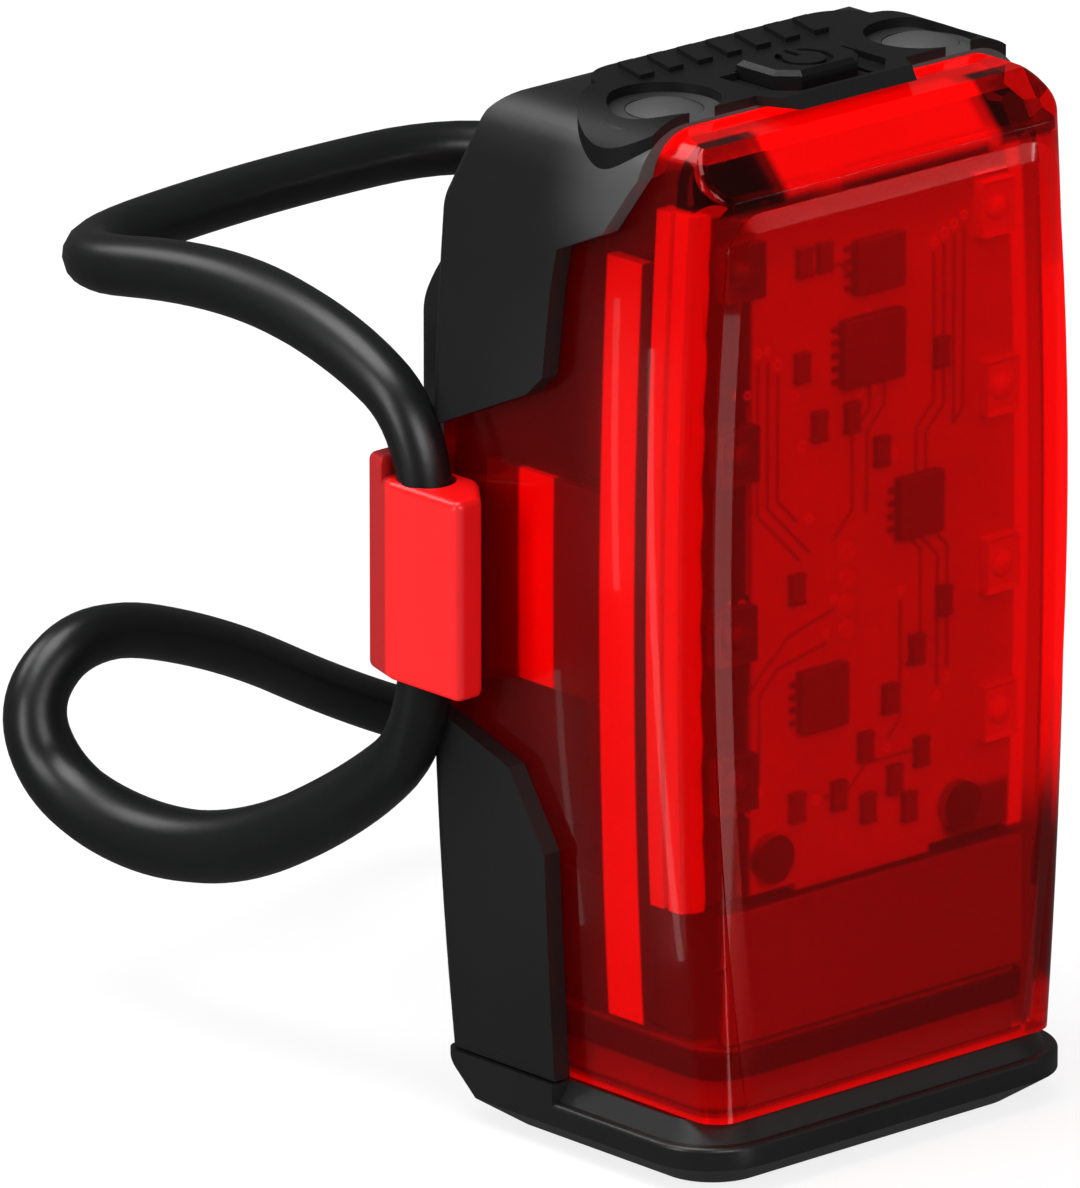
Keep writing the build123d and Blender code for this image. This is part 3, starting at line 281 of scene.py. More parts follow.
def combine(tree, operation, first, second=None):
    """Two values through one Math node."""
    node = tree.nodes.new("ShaderNodeMath")
    node.operation = operation
    tree.links.new(first, node.inputs[0])
    if second is not None:
        tree.links.new(second, node.inputs[1])
    return node.outputs["Value"]


def paint_over(material, mask, colour):
    """Another base colour where a mask is 1, over whatever the material has there."""
    tree = material.node_tree
    shader = tree.nodes["Principled BSDF"]
    before = shader.inputs["Base Color"].links[0].from_socket
    over = tree.nodes.new("ShaderNodeMix")
    over.data_type = "RGBA"
    over.inputs["B"].default_value = (*colour, 1)
    tree.links.new(mask, over.inputs["Factor"])
    tree.links.new(before, over.inputs["A"])
    tree.links.new(over.outputs["Result"], shader.inputs["Base Color"])


def light_up(material, mask, unmasked, masked, strength):
    """A painted glow, as emission, whose colour goes from one to the other as a mask goes from 0 to 1."""
    tree = material.node_tree
    shader = tree.nodes["Principled BSDF"]
    tint = tree.nodes.new("ShaderNodeMix")
    tint.data_type = "RGBA"
    tint.inputs["A"].default_value = (*unmasked, 1)
    tint.inputs["B"].default_value = (*masked, 1)
    tree.links.new(mask, tint.inputs["Factor"])
    tree.links.new(tint.outputs["Result"], shader.inputs["Emission Color"])
    shader.inputs["Emission Strength"].default_value = strength


# %% Pieces and their finish
def finish_node(node, material):
    """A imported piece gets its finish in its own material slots."""
    slots = nodes[node].data.materials
    slots.clear()
    slots.append(material)


def new_piece(name, mesh, material, body):
    """A mesh as an object of the scene that rides on a body and has one finish."""
    piece = bpy.data.objects.new(name, mesh)
    scene.collection.objects.link(piece)
    piece.data.materials.clear()
    piece.data.materials.append(material)
    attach(piece, body)
    return piece


# %% [markdown]
# ## Black outer pieces
# The housing is matte plastic, a little lighter than the rubber, and its upper front shoulder is
# painted paler as a highlight. The cover, the saddle and the cap are rubber with a soft satin sheen.
# The plug of the cap sits inside the lens, where its rubber is painted pale, apart from the dark
# band of its sealing rib. Each pair of places is the start and the end of a soft change, in millimetres.

# %% Black outer pieces
PLUG_PALE_GREY = (0.2, 0.19, 0.18)
CAP_LIP_TOP = (4.5, 4.9)
SEALING_RIB_FOOT = (6.3, 6.7)
SEALING_RIB_TOP = (8.1, 8.3)
SHOULDER_HIGHLIGHT_GREY = (0.05, 0.05, 0.05)
SHOULDER_FRONT = (-4, 3)
SHOULDER_FOOT = (55, 60)

housing_black = moulded("housing_black", (0.005, 0.005, 0.0052), (0.008, 0.008, 0.0082), 0.4,
                        gloss=0.4)
cover_rubber = moulded("cover_rubber", (0.003, 0.003, 0.003), (0.005, 0.005, 0.005), 0.45, gloss=0.22)
button_rubber = moulded("button_rubber", (0.002, 0.002, 0.002), (0.004, 0.004, 0.004), 0.4,
                        gloss=0.25)
cap_rubber = moulded("cap_rubber", (0.005, 0.005, 0.005), (0.009, 0.009, 0.009), 0.36, gloss=0.4)
saddle_rubber = moulded("saddle_rubber", (0.006, 0.006, 0.006), (0.010, 0.010, 0.010), 0.5,
                        grain_depth=0.05, gloss=0.35)
strap_rubber = moulded("strap_rubber", (0.003, 0.0032, 0.0034), (0.006, 0.0063, 0.0066), 0.34,
                       gloss=0.4)
plug_grey = moulded("plug_grey", (0.04, 0.04, 0.04), (0.06, 0.06, 0.06), 0.45, gloss=0.4)

# %% Pale plug of the cap, painted highlight on the housing
tree = cap_rubber.node_tree
_, _, height = place_of(tree)
pale_plug = combine(tree, "MULTIPLY", ramp(tree, height, *CAP_LIP_TOP),
                 ramp(tree, height, *SEALING_RIB_FOOT, 1, 0))
pale_plug = combine(tree, "MAXIMUM", pale_plug, ramp(tree, height, *SEALING_RIB_TOP))
paint_over(cap_rubber, pale_plug, PLUG_PALE_GREY)

tree = housing_black.node_tree
_, along, height = place_of(tree)
# Painted highlight: a paler grey on the housing's upper front shoulder.
shoulder_highlight = combine(tree, "MULTIPLY", ramp(tree, along, *SHOULDER_FRONT, 1, 0),
               ramp(tree, height, *SHOULDER_FOOT))
paint_over(housing_black, shoulder_highlight, SHOULDER_HIGHLIGHT_GREY)

OUTER_FINISHES = {
    "rear_housing": housing_black, "top_cover": cover_rubber, "power_button": button_rubber,
    "end_cap": cap_rubber, "mount_pad": saddle_rubber, "screw_plugs": plug_grey}
for node, material in OUTER_FINISHES.items():
    finish_node(node, material)
strap.data.materials.clear()
strap.data.materials.append(strap_rubber)
print("outer pieces finished:", len(OUTER_FINISHES) + 1)

# %% [markdown]
# ## The red lens
# The lens is clear polycarbonate coloured deep red, with a slight haze. Glass in a path tracer
# blocks the lamps from what is inside it, so the shader lets shadow rays through a red tinted
# film instead. The eye still sees real refraction and reflection.

# %% The clear red plastic
LENS_RED = (0.9, 0.0004, 0.0005)
LENS_GLINT = (1.0, 0.12, 0.11)
LAMP_FILM = (0.98, 0.1, 0.08)
LENS_CLARITY = 0.962
LENS_HAZE = 0.15
LENS_IOR = 1.42
LENS_COAT = 0.18
LENS_COAT_ROUGHNESS = 0.02


def clear_plastic(name, colour, glint, film):
    """Coloured clear plastic with a little haze, which lamps shine through."""
    material = bpy.data.materials.new(name)
    material.use_nodes = True
    tree = material.node_tree
    shader = tree.nodes["Principled BSDF"]
    shader.inputs["Base Color"].default_value = (*colour, 1)
    shader.inputs["Specular Tint"].default_value = (*glint, 1)
    shader.inputs["Transmission Weight"].default_value = LENS_CLARITY
    shader.inputs["Roughness"].default_value = LENS_HAZE
    shader.inputs["IOR"].default_value = LENS_IOR
    shader.inputs["Coat Weight"].default_value = LENS_COAT
    shader.inputs["Coat Roughness"].default_value = LENS_COAT_ROUGHNESS
    path = tree.nodes.new("ShaderNodeLightPath")
    film_shader = tree.nodes.new("ShaderNodeBsdfTransparent")
    film_shader.inputs["Color"].default_value = (*film, 1)
    mix = tree.nodes.new("ShaderNodeMixShader")
    output = tree.nodes["Material Output"]
    tree.links.new(path.outputs["Is Shadow Ray"], mix.inputs["Fac"])
    tree.links.new(shader.outputs["BSDF"], mix.inputs[1])
    tree.links.new(film_shader.outputs["BSDF"], mix.inputs[2])
    tree.links.new(mix.outputs["Shader"], output.inputs["Surface"])
    return material


lens_red = clear_plastic("lens_red", LENS_RED, LENS_GLINT, LAMP_FILM)
finish_node("front_lens", lens_red)
print("lens haze:", LENS_HAZE)

# %% [markdown]
# ## Painted glow on the lens
# Lit red plastic looks brighter at its edges, and that glow is painted on as emission: the brow,
# the rim of the top and the foot glow a little, and the right side has a painted glow too. On the
# real lens the upper corners, here called horns, are cut in facets; here they are painted a darker
# red as shade, and a few cells of a Voronoi pattern are bright as painted glints.

# %% Painted glow on the lens edges
# Painted glow: emission on the lens edges stands in for light.
PAINTED_GLOW_RED = (1, 0.001, 0.001)
UNLIT = (0, 0, 0)
PAINTED_EDGE_GLOW = 0.42
BROW_FOOT = (60.4, 61.0)
BROW_END = (8.2, 9.0)
BROW_BACK = (-6.4, -5.6)
RIM_FOOT = (62.9, 63.3)
RIM_FRONT = (-7.6, -7.3)
LENS_FOOT = (4.5, 4.8)
FOOT_GLOW_SHARE = 0.4
RIGHT_SIDE = (12.9, 13.5)
RIGHT_SIDE_FOOT = (16, 20)
RIGHT_SIDE_TOP = (58, 60)
RIGHT_SIDE_GLOW_SHARE = 0.45

tree = lens_red.node_tree
across, along, height = place_of(tree)
aside = combine(tree, "ABSOLUTE", across)
brow = combine(tree, "MULTIPLY", ramp(tree, height, *BROW_FOOT), ramp(tree, aside, *BROW_END, 1, 0))
brow = combine(tree, "MULTIPLY", brow, ramp(tree, along, *BROW_BACK, 1, 0))
rim = combine(tree, "MULTIPLY", ramp(tree, height, *RIM_FOOT), ramp(tree, along, *RIM_FRONT))
crown = combine(tree, "MAXIMUM", brow, rim)
edges = combine(tree, "MAXIMUM", crown, ramp(tree, height, *LENS_FOOT, FOOT_GLOW_SHARE, 0))
# Painted glow on the right side of the lens.
painted_side_glow = combine(tree, "MULTIPLY", ramp(tree, across, *RIGHT_SIDE, 0, RIGHT_SIDE_GLOW_SHARE),
                   ramp(tree, height, *RIGHT_SIDE_FOOT))
painted_side_glow = combine(tree, "MULTIPLY", painted_side_glow, ramp(tree, height, *RIGHT_SIDE_TOP, 1, 0))

# %% Painted shade and glints in the horns
# Painted shade: a darker red in the horns.
HORN_SHADE_RED = (0.08, 0.0003, 0.0004)
HORN_FOOT = (60.2, 60.6)
FACET_SCALE = 480
FACET_GLINT_RANGE = (0.8, 0.84)
FACET_GLINT_SHARE = 0.8

horns = combine(tree, "MULTIPLY", ramp(tree, height, *HORN_FOOT), ramp(tree, along, *RIM_FRONT, 1, 0))
horns = combine(tree, "MULTIPLY", horns, ramp(tree, aside, *BROW_END))
# Painted glints: a few bright Voronoi cells in the horns.
facets = tree.nodes.new("ShaderNodeTexVoronoi")
facets.inputs["Scale"].default_value = FACET_SCALE
tree.links.new(height.node.inputs["Vector"].links[0].from_socket, facets.inputs["Vector"])
facet_tone = tree.nodes.new("ShaderNodeSeparateColor")
tree.links.new(facets.outputs["Color"], facet_tone.inputs["Color"])
painted_facet_glints = ramp(tree, facet_tone.outputs["Red"], *FACET_GLINT_RANGE, 0, FACET_GLINT_SHARE, unit=1)
edges = combine(tree, "MAXIMUM", edges, combine(tree, "MULTIPLY", horns, painted_facet_glints))
edges = combine(tree, "MAXIMUM", edges, painted_side_glow)
light_up(lens_red, edges, UNLIT, PAINTED_GLOW_RED, PAINTED_EDGE_GLOW)
lens_tone = tree.nodes.new("ShaderNodeMix")
lens_tone.data_type = "RGBA"
lens_tone.inputs["A"].default_value = (*LENS_RED, 1)
lens_tone.inputs["B"].default_value = (*HORN_SHADE_RED, 1)
tree.links.new(horns, lens_tone.inputs["Factor"])
tree.links.new(lens_tone.outputs["Result"], tree.nodes["Principled BSDF"].inputs["Base Color"])
print("nodes in the lens:", len(tree.nodes))

# %% [markdown]
# ## The red tab
# The tab is opaque glossy red rubber, brighter than the lens. Its front and back edges turn away
# from the light, and their shade is painted on as a darker red.

# %% The red tab
TAB_BACK_SHADE_RED = (0.36, 0.008, 0.009)
TAB_FRONT_SHADE_RED = (0.5, 0.005, 0.006)
TAB_BACK = (12.6, 13.0)
TAB_FRONT = (6.3, 6.7)

tab_red = moulded("tab_red", (0.74, 0.004, 0.005), (0.82, 0.006, 0.007), 0.3, grain_depth=0.004,
                  gloss=0.3, coat=0.1)
tree = tab_red.node_tree
_, along, _ = place_of(tree)
# Painted shade on the tab's back and front edges.
paint_over(tab_red, ramp(tree, along, *TAB_BACK), TAB_BACK_SHADE_RED)
paint_over(tab_red, ramp(tree, along, *TAB_FRONT, 1, 0), TAB_FRONT_SHADE_RED)
finish_node("strap_tab", tab_red)
print("tab finished:", tab_red.name)

# %% [markdown]
# ## What is inside
# Through the lens the pale pieces read as bright red and the black ones as nearly black. So each
# inner piece has the tone that it shows there. The board is greyer at its top and in its lower
# right corner, and painted dark behind the left row of lamps as shade. The frame's front wall is
# painted paler, as painted light.

# %% The board and its frame
BOARD_TOP = (54.0, 58.0)
BOARD_TOP_GREY = (0.36, 0.36, 0.34)
CORNER_LEFT = (6.2, 7.2)
CORNER_TOP = (19.6, 20.4)
CORNER_GREY = (0.14, 0.14, 0.14)
BOARD_LEFT = (-9.3, -8.9)
BOARD_LEFT_SHADE_GREY = (0.05, 0.05, 0.05)
FRAME_FRONT = (-8.7, -8.4)
FRAME_FRONT_LIT_GREY = (0.2, 0.195, 0.19)

board_mask = moulded("board_mask", (0.42, 0.42, 0.4), (0.58, 0.58, 0.56), 0.5, cloud_size=160.0,
                     gloss=0.2)
tree = board_mask.node_tree
across, _, height = place_of(tree)
paint_over(board_mask, ramp(tree, height, *BOARD_TOP), BOARD_TOP_GREY)
corner = combine(tree, "MULTIPLY", ramp(tree, across, *CORNER_LEFT), ramp(tree, height, *CORNER_TOP, 1, 0))
paint_over(board_mask, corner, CORNER_GREY)
# Painted shade behind the left row of lamps.
paint_over(board_mask, ramp(tree, across, *BOARD_LEFT, 1, 0), BOARD_LEFT_SHADE_GREY)
frame_black = moulded("frame_black", (0.03, 0.028, 0.028), (0.045, 0.042, 0.042), 0.7, gloss=0.1)
tree = frame_black.node_tree
_, along, _ = place_of(tree)
# Painted light on the frame's front wall.
paint_over(frame_black, ramp(tree, along, *FRAME_FRONT, 1, 0), FRAME_FRONT_LIT_GREY)

# %% Small parts, lamps and battery
LAMPS_MIDDLE = (-1, 1)
LAMPS_LEFT_SHADE_GREY = (0.09, 0.09, 0.09)

chip_black = moulded("chip_black", (0.15, 0.15, 0.15), (0.21, 0.21, 0.21), 0.55, gloss=0.1)
part_ceramic = moulded("part_ceramic", (0.15, 0.13, 0.11), (0.24, 0.2, 0.16), 0.5, gloss=0.2)
solder = moulded("solder", (0.75, 0.75, 0.72), (0.9, 0.9, 0.88), 0.35, metallic=0.6)
led_white = moulded("led_white", (0.6, 0.6, 0.55), (0.75, 0.75, 0.7), 0.4)
led_chip = moulded("led_chip", (0.25, 0.22, 0.12), (0.4, 0.34, 0.2), 0.3)
# Painted shade: the left row of lamps is painted darker.
for material in (led_white, led_chip):
    tree = material.node_tree
    across, _, _ = place_of(tree)
    paint_over(material, ramp(tree, across, *LAMPS_MIDDLE, 1, 0), LAMPS_LEFT_SHADE_GREY)
pad_gold = moulded("pad_gold", (0.8, 0.62, 0.3), (0.9, 0.72, 0.4), 0.35, metallic=0.5)
trace_dark = moulded("trace_dark", (0.2, 0.2, 0.18), (0.3, 0.3, 0.27), 0.5, gloss=0.2)
screw_steel = moulded("screw_steel", (0.35, 0.35, 0.36), (0.5, 0.5, 0.52), 0.3, metallic=1.0)
battery_silver = moulded("battery_silver", (0.3, 0.3, 0.32), (0.45, 0.45, 0.47), 0.35, metallic=1.0)
foam_black = moulded("foam_black", (0.015, 0.015, 0.015), (0.03, 0.03, 0.03), 0.9,
                     grain_size=1500.0, grain_depth=0.2)
lead_red = moulded("lead_red", (0.45, 0.01, 0.01), (0.6, 0.02, 0.02), 0.4)

# %% [markdown]
# ## Light guides and reflectors
# These carry light to the side windows, and a little glow is painted on them as emission, though
# they are no lamps. The side reflector shows as bright strips with dark gaps, and one mask makes
# the gaps both dark and unlit.

# %% Light guides and reflectors
GUIDE_PAINTED_GLOW = 0.1
REFLECTOR_LIGHT = (0.84, 0.83, 0.81)
REFLECTOR_GAP = (0.04, 0.04, 0.04)
REFLECTOR_PAINTED_GLOW = 0.1
GAP_FRONT = (-0.8, -0.6)
GAP_BACK = (3.2, 3.5)
REFLECTOR_BACK = (6.2, 6.6)
REFLECTOR_FRONT = (-3.8, -3.6)

# Painted glow: emission on the guides and reflectors, which are no lamps.
guide_clear = moulded("guide_clear", (0.7, 0.69, 0.67), (0.8, 0.79, 0.77), 0.3, glow=GUIDE_PAINTED_GLOW)
reflector_white = moulded("reflector_white", (0.74, 0.73, 0.71), REFLECTOR_LIGHT, 0.4)
tree = reflector_white.node_tree
_, along, _ = place_of(tree)
gaps = combine(tree, "MULTIPLY", ramp(tree, along, *GAP_FRONT), ramp(tree, along, *GAP_BACK, 1, 0))
gaps = combine(tree, "MAXIMUM", gaps, ramp(tree, along, *REFLECTOR_BACK))
gaps = combine(tree, "MAXIMUM", gaps, ramp(tree, along, *REFLECTOR_FRONT, 1, 0))
paint_over(reflector_white, gaps, REFLECTOR_GAP)
light_up(reflector_white, gaps, REFLECTOR_LIGHT, UNLIT, REFLECTOR_PAINTED_GLOW)

# %% Inner finishes
INNER_FINISHES = {
    "circuit_board": board_mask, "inner_frame": frame_black, "leds": led_white,
    "control_chips": chip_black, "board_components": part_ceramic, "test_pads": pad_gold,
    "board_screws": screw_steel, "case_screws": screw_steel, "light_guide_left": guide_clear,
    "light_guide_right": guide_clear, "side_reflector_left": reflector_white,
    "side_reflector_right": reflector_white, "battery_cell": battery_silver,
    "battery_foam": foam_black, "battery_leads": lead_red, "charge_port_shell": screw_steel,
    "charge_port_tongue": chip_black, "charge_port_contacts": pad_gold,
    "switch_plunger": chip_black, "tact_switch": screw_steel}
for node, material in INNER_FINISHES.items():
    finish_node(node, material)
print("inner pieces finished:", len(INNER_FINISHES))

# %% [markdown]
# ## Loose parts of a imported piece
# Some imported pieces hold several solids: eight lamps, four chips, eighteen small parts. To put a
# finer piece in each place, the mesh is split into its islands, and each island gives one box.

# %% Islands
MERGE_DISTANCE = 0.001
BEVEL_STEPS = 2
BEVEL_PROFILE = 0.6


def island_boxes(node):
    """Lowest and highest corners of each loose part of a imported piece, from the top down."""
    work = bmesh.new()
    work.from_mesh(nodes[node].data)
    bmesh.ops.remove_doubles(work, verts=work.verts, dist=MERGE_DISTANCE * MM)
    waiting = set(work.verts)
    boxes = []
    while waiting:
        island = []
        front = [waiting.pop()]
        while front:
            vertex = front.pop()
            island.append(vertex.co.copy())
            for edge in vertex.link_edges:
                other = edge.other_vert(vertex)
                if other in waiting:
                    waiting.remove(other)
                    front.append(other)
        low = Vector([min(co[axis] for co in island) for axis in range(3)])
        high = Vector([max(co[axis] for co in island) for axis in range(3)])
        boxes.append((low, high))
    work.free()
    return sorted(boxes, key=lambda box: (-box[0].z, box[0].x))


def add_block(work, low, high, bevel, finish=0):
    """A block with bevelled edges in a mesh under construction."""
    middle = (low + high) / 2
    size = high - low
    place = Matrix.Translation(middle) @ Matrix.Diagonal((*size, 1))
    made = bmesh.ops.create_cube(work, size=1, matrix=place)
    edges = {edge for vertex in made["verts"] for edge in vertex.link_edges}
    faces = {face for vertex in made["verts"] for face in vertex.link_faces}
    for face in faces:
        face.material_index = finish
    if bevel > 0:
        bmesh.ops.bevel(work, geom=list(edges), offset=bevel, segments=BEVEL_STEPS, profile=BEVEL_PROFILE,
                        affect="EDGES", clamp_overlap=True, material=finish)


def mesh_from(work, name):
    """The finished mesh of a bmesh."""
    mesh = bpy.data.meshes.new(name)
    work.to_mesh(mesh)
    work.free()
    return mesh


# %% [markdown]
# ## Lamps on the board
# Each lamp is a white body with a square cup in its face and a low clear dome in the cup. The cup
# is made by insetting the front face and pushing the new face in.

# %% Lamps on the board
LED_CUP_RIM = 0.4
LED_CUP_DEPTH = 0.3
LED_DOME = 0.85
LED_DOME_SHARE = 0.7
LED_FACE_STEP = 0.35


def add_lamp(work, low, high):
    """One lamp package between two corners, its cup towards the front."""
    face_y = low.y + LED_FACE_STEP * MM
    made = bmesh.ops.create_cube(work, size=1, matrix=Matrix.Translation(
        Vector(((low.x + high.x) / 2, (face_y + high.y) / 2, (low.z + high.z) / 2)))
        @ Matrix.Diagonal((high.x - low.x, high.y - face_y, high.z - low.z, 1)))
    faces = {face for vertex in made["verts"] for face in vertex.link_faces}
    front = min(faces, key=lambda face: face.calc_center_median().y)
    bmesh.ops.inset_individual(work, faces=[front], thickness=LED_CUP_RIM * MM,
                               depth=-LED_CUP_DEPTH * MM)
    front.material_index = 1
    middle = Vector(((low.x + high.x) / 2, face_y + LED_CUP_DEPTH * MM, (low.z + high.z) / 2))
    size = LED_DOME * MM
    dome = bmesh.ops.create_uvsphere(work, u_segments=20, v_segments=10, radius=1,
                                     matrix=Matrix.Translation(middle)
                                     @ Matrix.Diagonal((size, size * LED_DOME_SHARE, size, 1)))
    for face in {face for vertex in dome["verts"] for face in vertex.link_faces}:
        face.material_index = 1
        face.smooth = True


work = bmesh.new()
for low, high in island_boxes("leds"):
    add_lamp(work, low, high)
lamps = new_piece("lamp_packages", mesh_from(work, "lamp_packages"), led_white, "light_body")
lamps.data.materials.append(led_chip)
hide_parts("leds")
print("faces of the lamps:", len(lamps.data.polygons))

# %% [markdown]
# ## Chips and small parts
# A chip is a bevelled black body with a row of short bright legs on both long sides. A small part
# is a ceramic block with a solder cap over each end.

# %% Chips and small parts
LEG_PITCH = 0.8
LEG_WIDTH = 0.35
LEG_REACH = 0.55
LEG_HEIGHT = 0.25
LEG_BEVEL = 0.04
CHIP_BEVEL = 0.1
PART_BEVEL = 0.03
SOLDER_CAP = 0.35
SOLDER_BEVEL = 0.06
SOLDER_SIDE = 0.05
SOLDER_FRONT = 0.04

chip_work = bmesh.new()
for low, high in island_boxes("control_chips"):
    add_block(chip_work, low, high, CHIP_BEVEL * MM)
    count = int((high.z - low.z) / (LEG_PITCH * MM))
    for index in range(count):
        z = (low.z + high.z) / 2 + (index - (count - 1) / 2) * LEG_PITCH * MM
        for edge, side in ((low.x, -1), (high.x, 1)):
            ends = sorted((edge, edge + side * LEG_REACH * MM))
            add_block(chip_work, Vector((ends[0], high.y - LEG_HEIGHT * MM, z - LEG_WIDTH / 2 * MM)),
                      Vector((ends[1], high.y, z + LEG_WIDTH / 2 * MM)), LEG_BEVEL * MM, finish=1)
chips = new_piece("chips_with_legs", mesh_from(chip_work, "chips_with_legs"), chip_black,
                  "light_body")
chips.data.materials.append(solder)
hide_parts("control_chips")

part_work = bmesh.new()
for low, high in island_boxes("board_components"):
    cap = Vector((0, 0, SOLDER_CAP * MM))
    side = mm(SOLDER_SIDE, 0, 0)
    swell = mm(SOLDER_SIDE, SOLDER_FRONT, 0)
    add_block(part_work, low + cap, high - cap, PART_BEVEL * MM)
    add_block(part_work, low - swell, Vector((high.x, high.y, low.z)) + cap + side,
              SOLDER_BEVEL * MM, finish=1)
    add_block(part_work, Vector((low.x, low.y, high.z)) - cap - swell, high + side,
              SOLDER_BEVEL * MM, finish=1)
parts = new_piece("ceramic_parts", mesh_from(part_work, "ceramic_parts"), part_ceramic,
                  "light_body")
parts.data.materials.append(solder)
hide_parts("board_components")
print("faces of the chips:", len(chips.data.polygons), "of the small parts:", len(parts.data.polygons))

# %% [markdown]
# ## Tracks on the board
# The tracks are thin lines with corners of 45 degrees. Each one is a straight spline with a small
# round section, half sunk in the board, so that its edge catches the light. Places are given as
# X and Z in millimetres, as they lie on the board seen from the front.

# %% Tracks on the board
TRACK_WIDTH = 0.26
TRACK_SINK = 0.02
TRACKS = [
    [(-8.6, 50.0), (-8.6, 40.6), (-5.2, 37.2)],
    [(-7.8, 50.0), (-7.8, 40.9), (-4.4, 37.5)],
    [(-7.0, 49.0), (-7.0, 41.2), (-5.4, 39.6)],
    [(-9.4, 47.6), (-9.4, 36.0)],
    [(-2.6, 37.8), (-1.0, 39.4), (-1.0, 44.0), (0.4, 45.4), (0.4, 50.5)],
    [(0.2, 39.0), (0.2, 44.0), (1.6, 45.4), (1.6, 47.0)],
    [(3.0, 37.4), (4.6, 35.8), (4.6, 30.0), (3.4, 28.8)],
    [(5.6, 54.0), (5.6, 44.8), (4.2, 43.4), (4.2, 37.0), (6.0, 35.2), (6.0, 27.0)],
    [(6.4, 54.4), (6.4, 44.4), (5.0, 43.0), (5.0, 37.4), (6.8, 35.6), (6.8, 28.0)],
    [(7.2, 54.8), (7.2, 43.0)],
    [(8.0, 55.2), (8.0, 44.0), (7.2, 43.0)],
    [(-7.6, 31.2), (-6.2, 32.6), (-2.4, 33.6)],
    [(-8.4, 24.0), (-8.4, 29.4), (-7.0, 30.8), (-3.0, 31.6)],
    [(-9.2, 23.0), (-9.2, 29.8), (-7.4, 31.6)],
    [(-4.4, 54.8), (-2.0, 54.8), (-0.6, 53.4), (3.4, 53.4)],
    [(2.0, 24.6), (3.0, 25.6), (3.0, 33.0)],
    [(-3.2, 22.0), (-1.2, 22.0), (0.2, 23.4), (4.8, 23.4)]]


def track_curve():
    """All tracks as one curve of straight splines."""
    curve = bpy.data.curves.new("board_tracks", "CURVE")
    curve.dimensions = "3D"
    curve.bevel_depth = TRACK_WIDTH / 2 * MM
    curve.bevel_resolution = 1
    face_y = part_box("circuit_board")[0][1]
    for points in TRACKS:
        spline = curve.splines.new("POLY")
        spline.points.add(len(points) - 1)
        for point, (x, z) in zip(spline.points, points):
            point.co = (x * MM, face_y + TRACK_SINK * MM, z * MM, 1)
    return curve


track_holder = bpy.data.objects.new("track_lines", track_curve())
scene.collection.objects.link(track_holder)
tracks = new_piece("board_tracks", mesh_of(track_holder), trace_dark, "light_body")
bpy.data.objects.remove(track_holder)
print("tracks:", len(TRACKS))

# %% [markdown]
# ## Via holes with Geometry Nodes
# A via is a small bright ring. One ring mesh is placed on many points by a Geometry Nodes group:
# it sets an instance on each point, scales it by a seeded random amount, makes the instances
# real and gives them one material. The result is kept as a plain mesh.

# %% Via holes
VIA_RADIUS = 0.32
VIA_SPREAD = 0.15
VIA_SEED = 4
RING_STEPS = 20
RING_ROWS = [(1.0, 0.0), (0.95, -0.1), (0.62, -0.14), (0.5, 0.0)]
VIA_PLACES = [(-8.6, 50.6), (-7.8, 50.6), (-7.0, 49.6), (-9.4, 48.2), (0.4, 51.2), (1.6, 47.6),
              (3.4, 28.2), (5.6, 54.6), (6.4, 55.0), (7.2, 55.4), (8.0, 55.8), (-2.4, 34.2),
              (-8.4, 23.4), (-9.2, 22.4), (-3.0, 32.2), (3.0, 33.6), (2.0, 24.0), (-3.8, 22.0),
              (5.4, 23.4), (6.0, 26.4), (6.8, 27.4), (-4.4, 39.6), (-5.0, 44.2), (-5.6, 47.4),
              (-4.0, 45.8), (2.4, 42.2), (-0.4, 47.8), (-0.4, 46.6), (0.6, 46.6), (-9.8, 35.4)]


def ring_mesh():
    """A flat ring with a raised inner edge, its axis along Y."""
    vertices = []
    faces = []
    for radius, lift in RING_ROWS:
        for step in range(RING_STEPS):
            turn = 2 * pi * step / RING_STEPS
            vertices.append((radius * cos(turn), lift, radius * sin(turn)))
    for row in range(len(RING_ROWS) - 1):
        this_row = row * RING_STEPS
        next_row = this_row + RING_STEPS
        for step in range(RING_STEPS):
            after = (step + 1) % RING_STEPS
            faces.append((this_row + step, this_row + after, next_row + after, next_row + step))
    mesh = bpy.data.meshes.new("via_ring")
    mesh.from_pydata(vertices, [], faces)
    return mesh


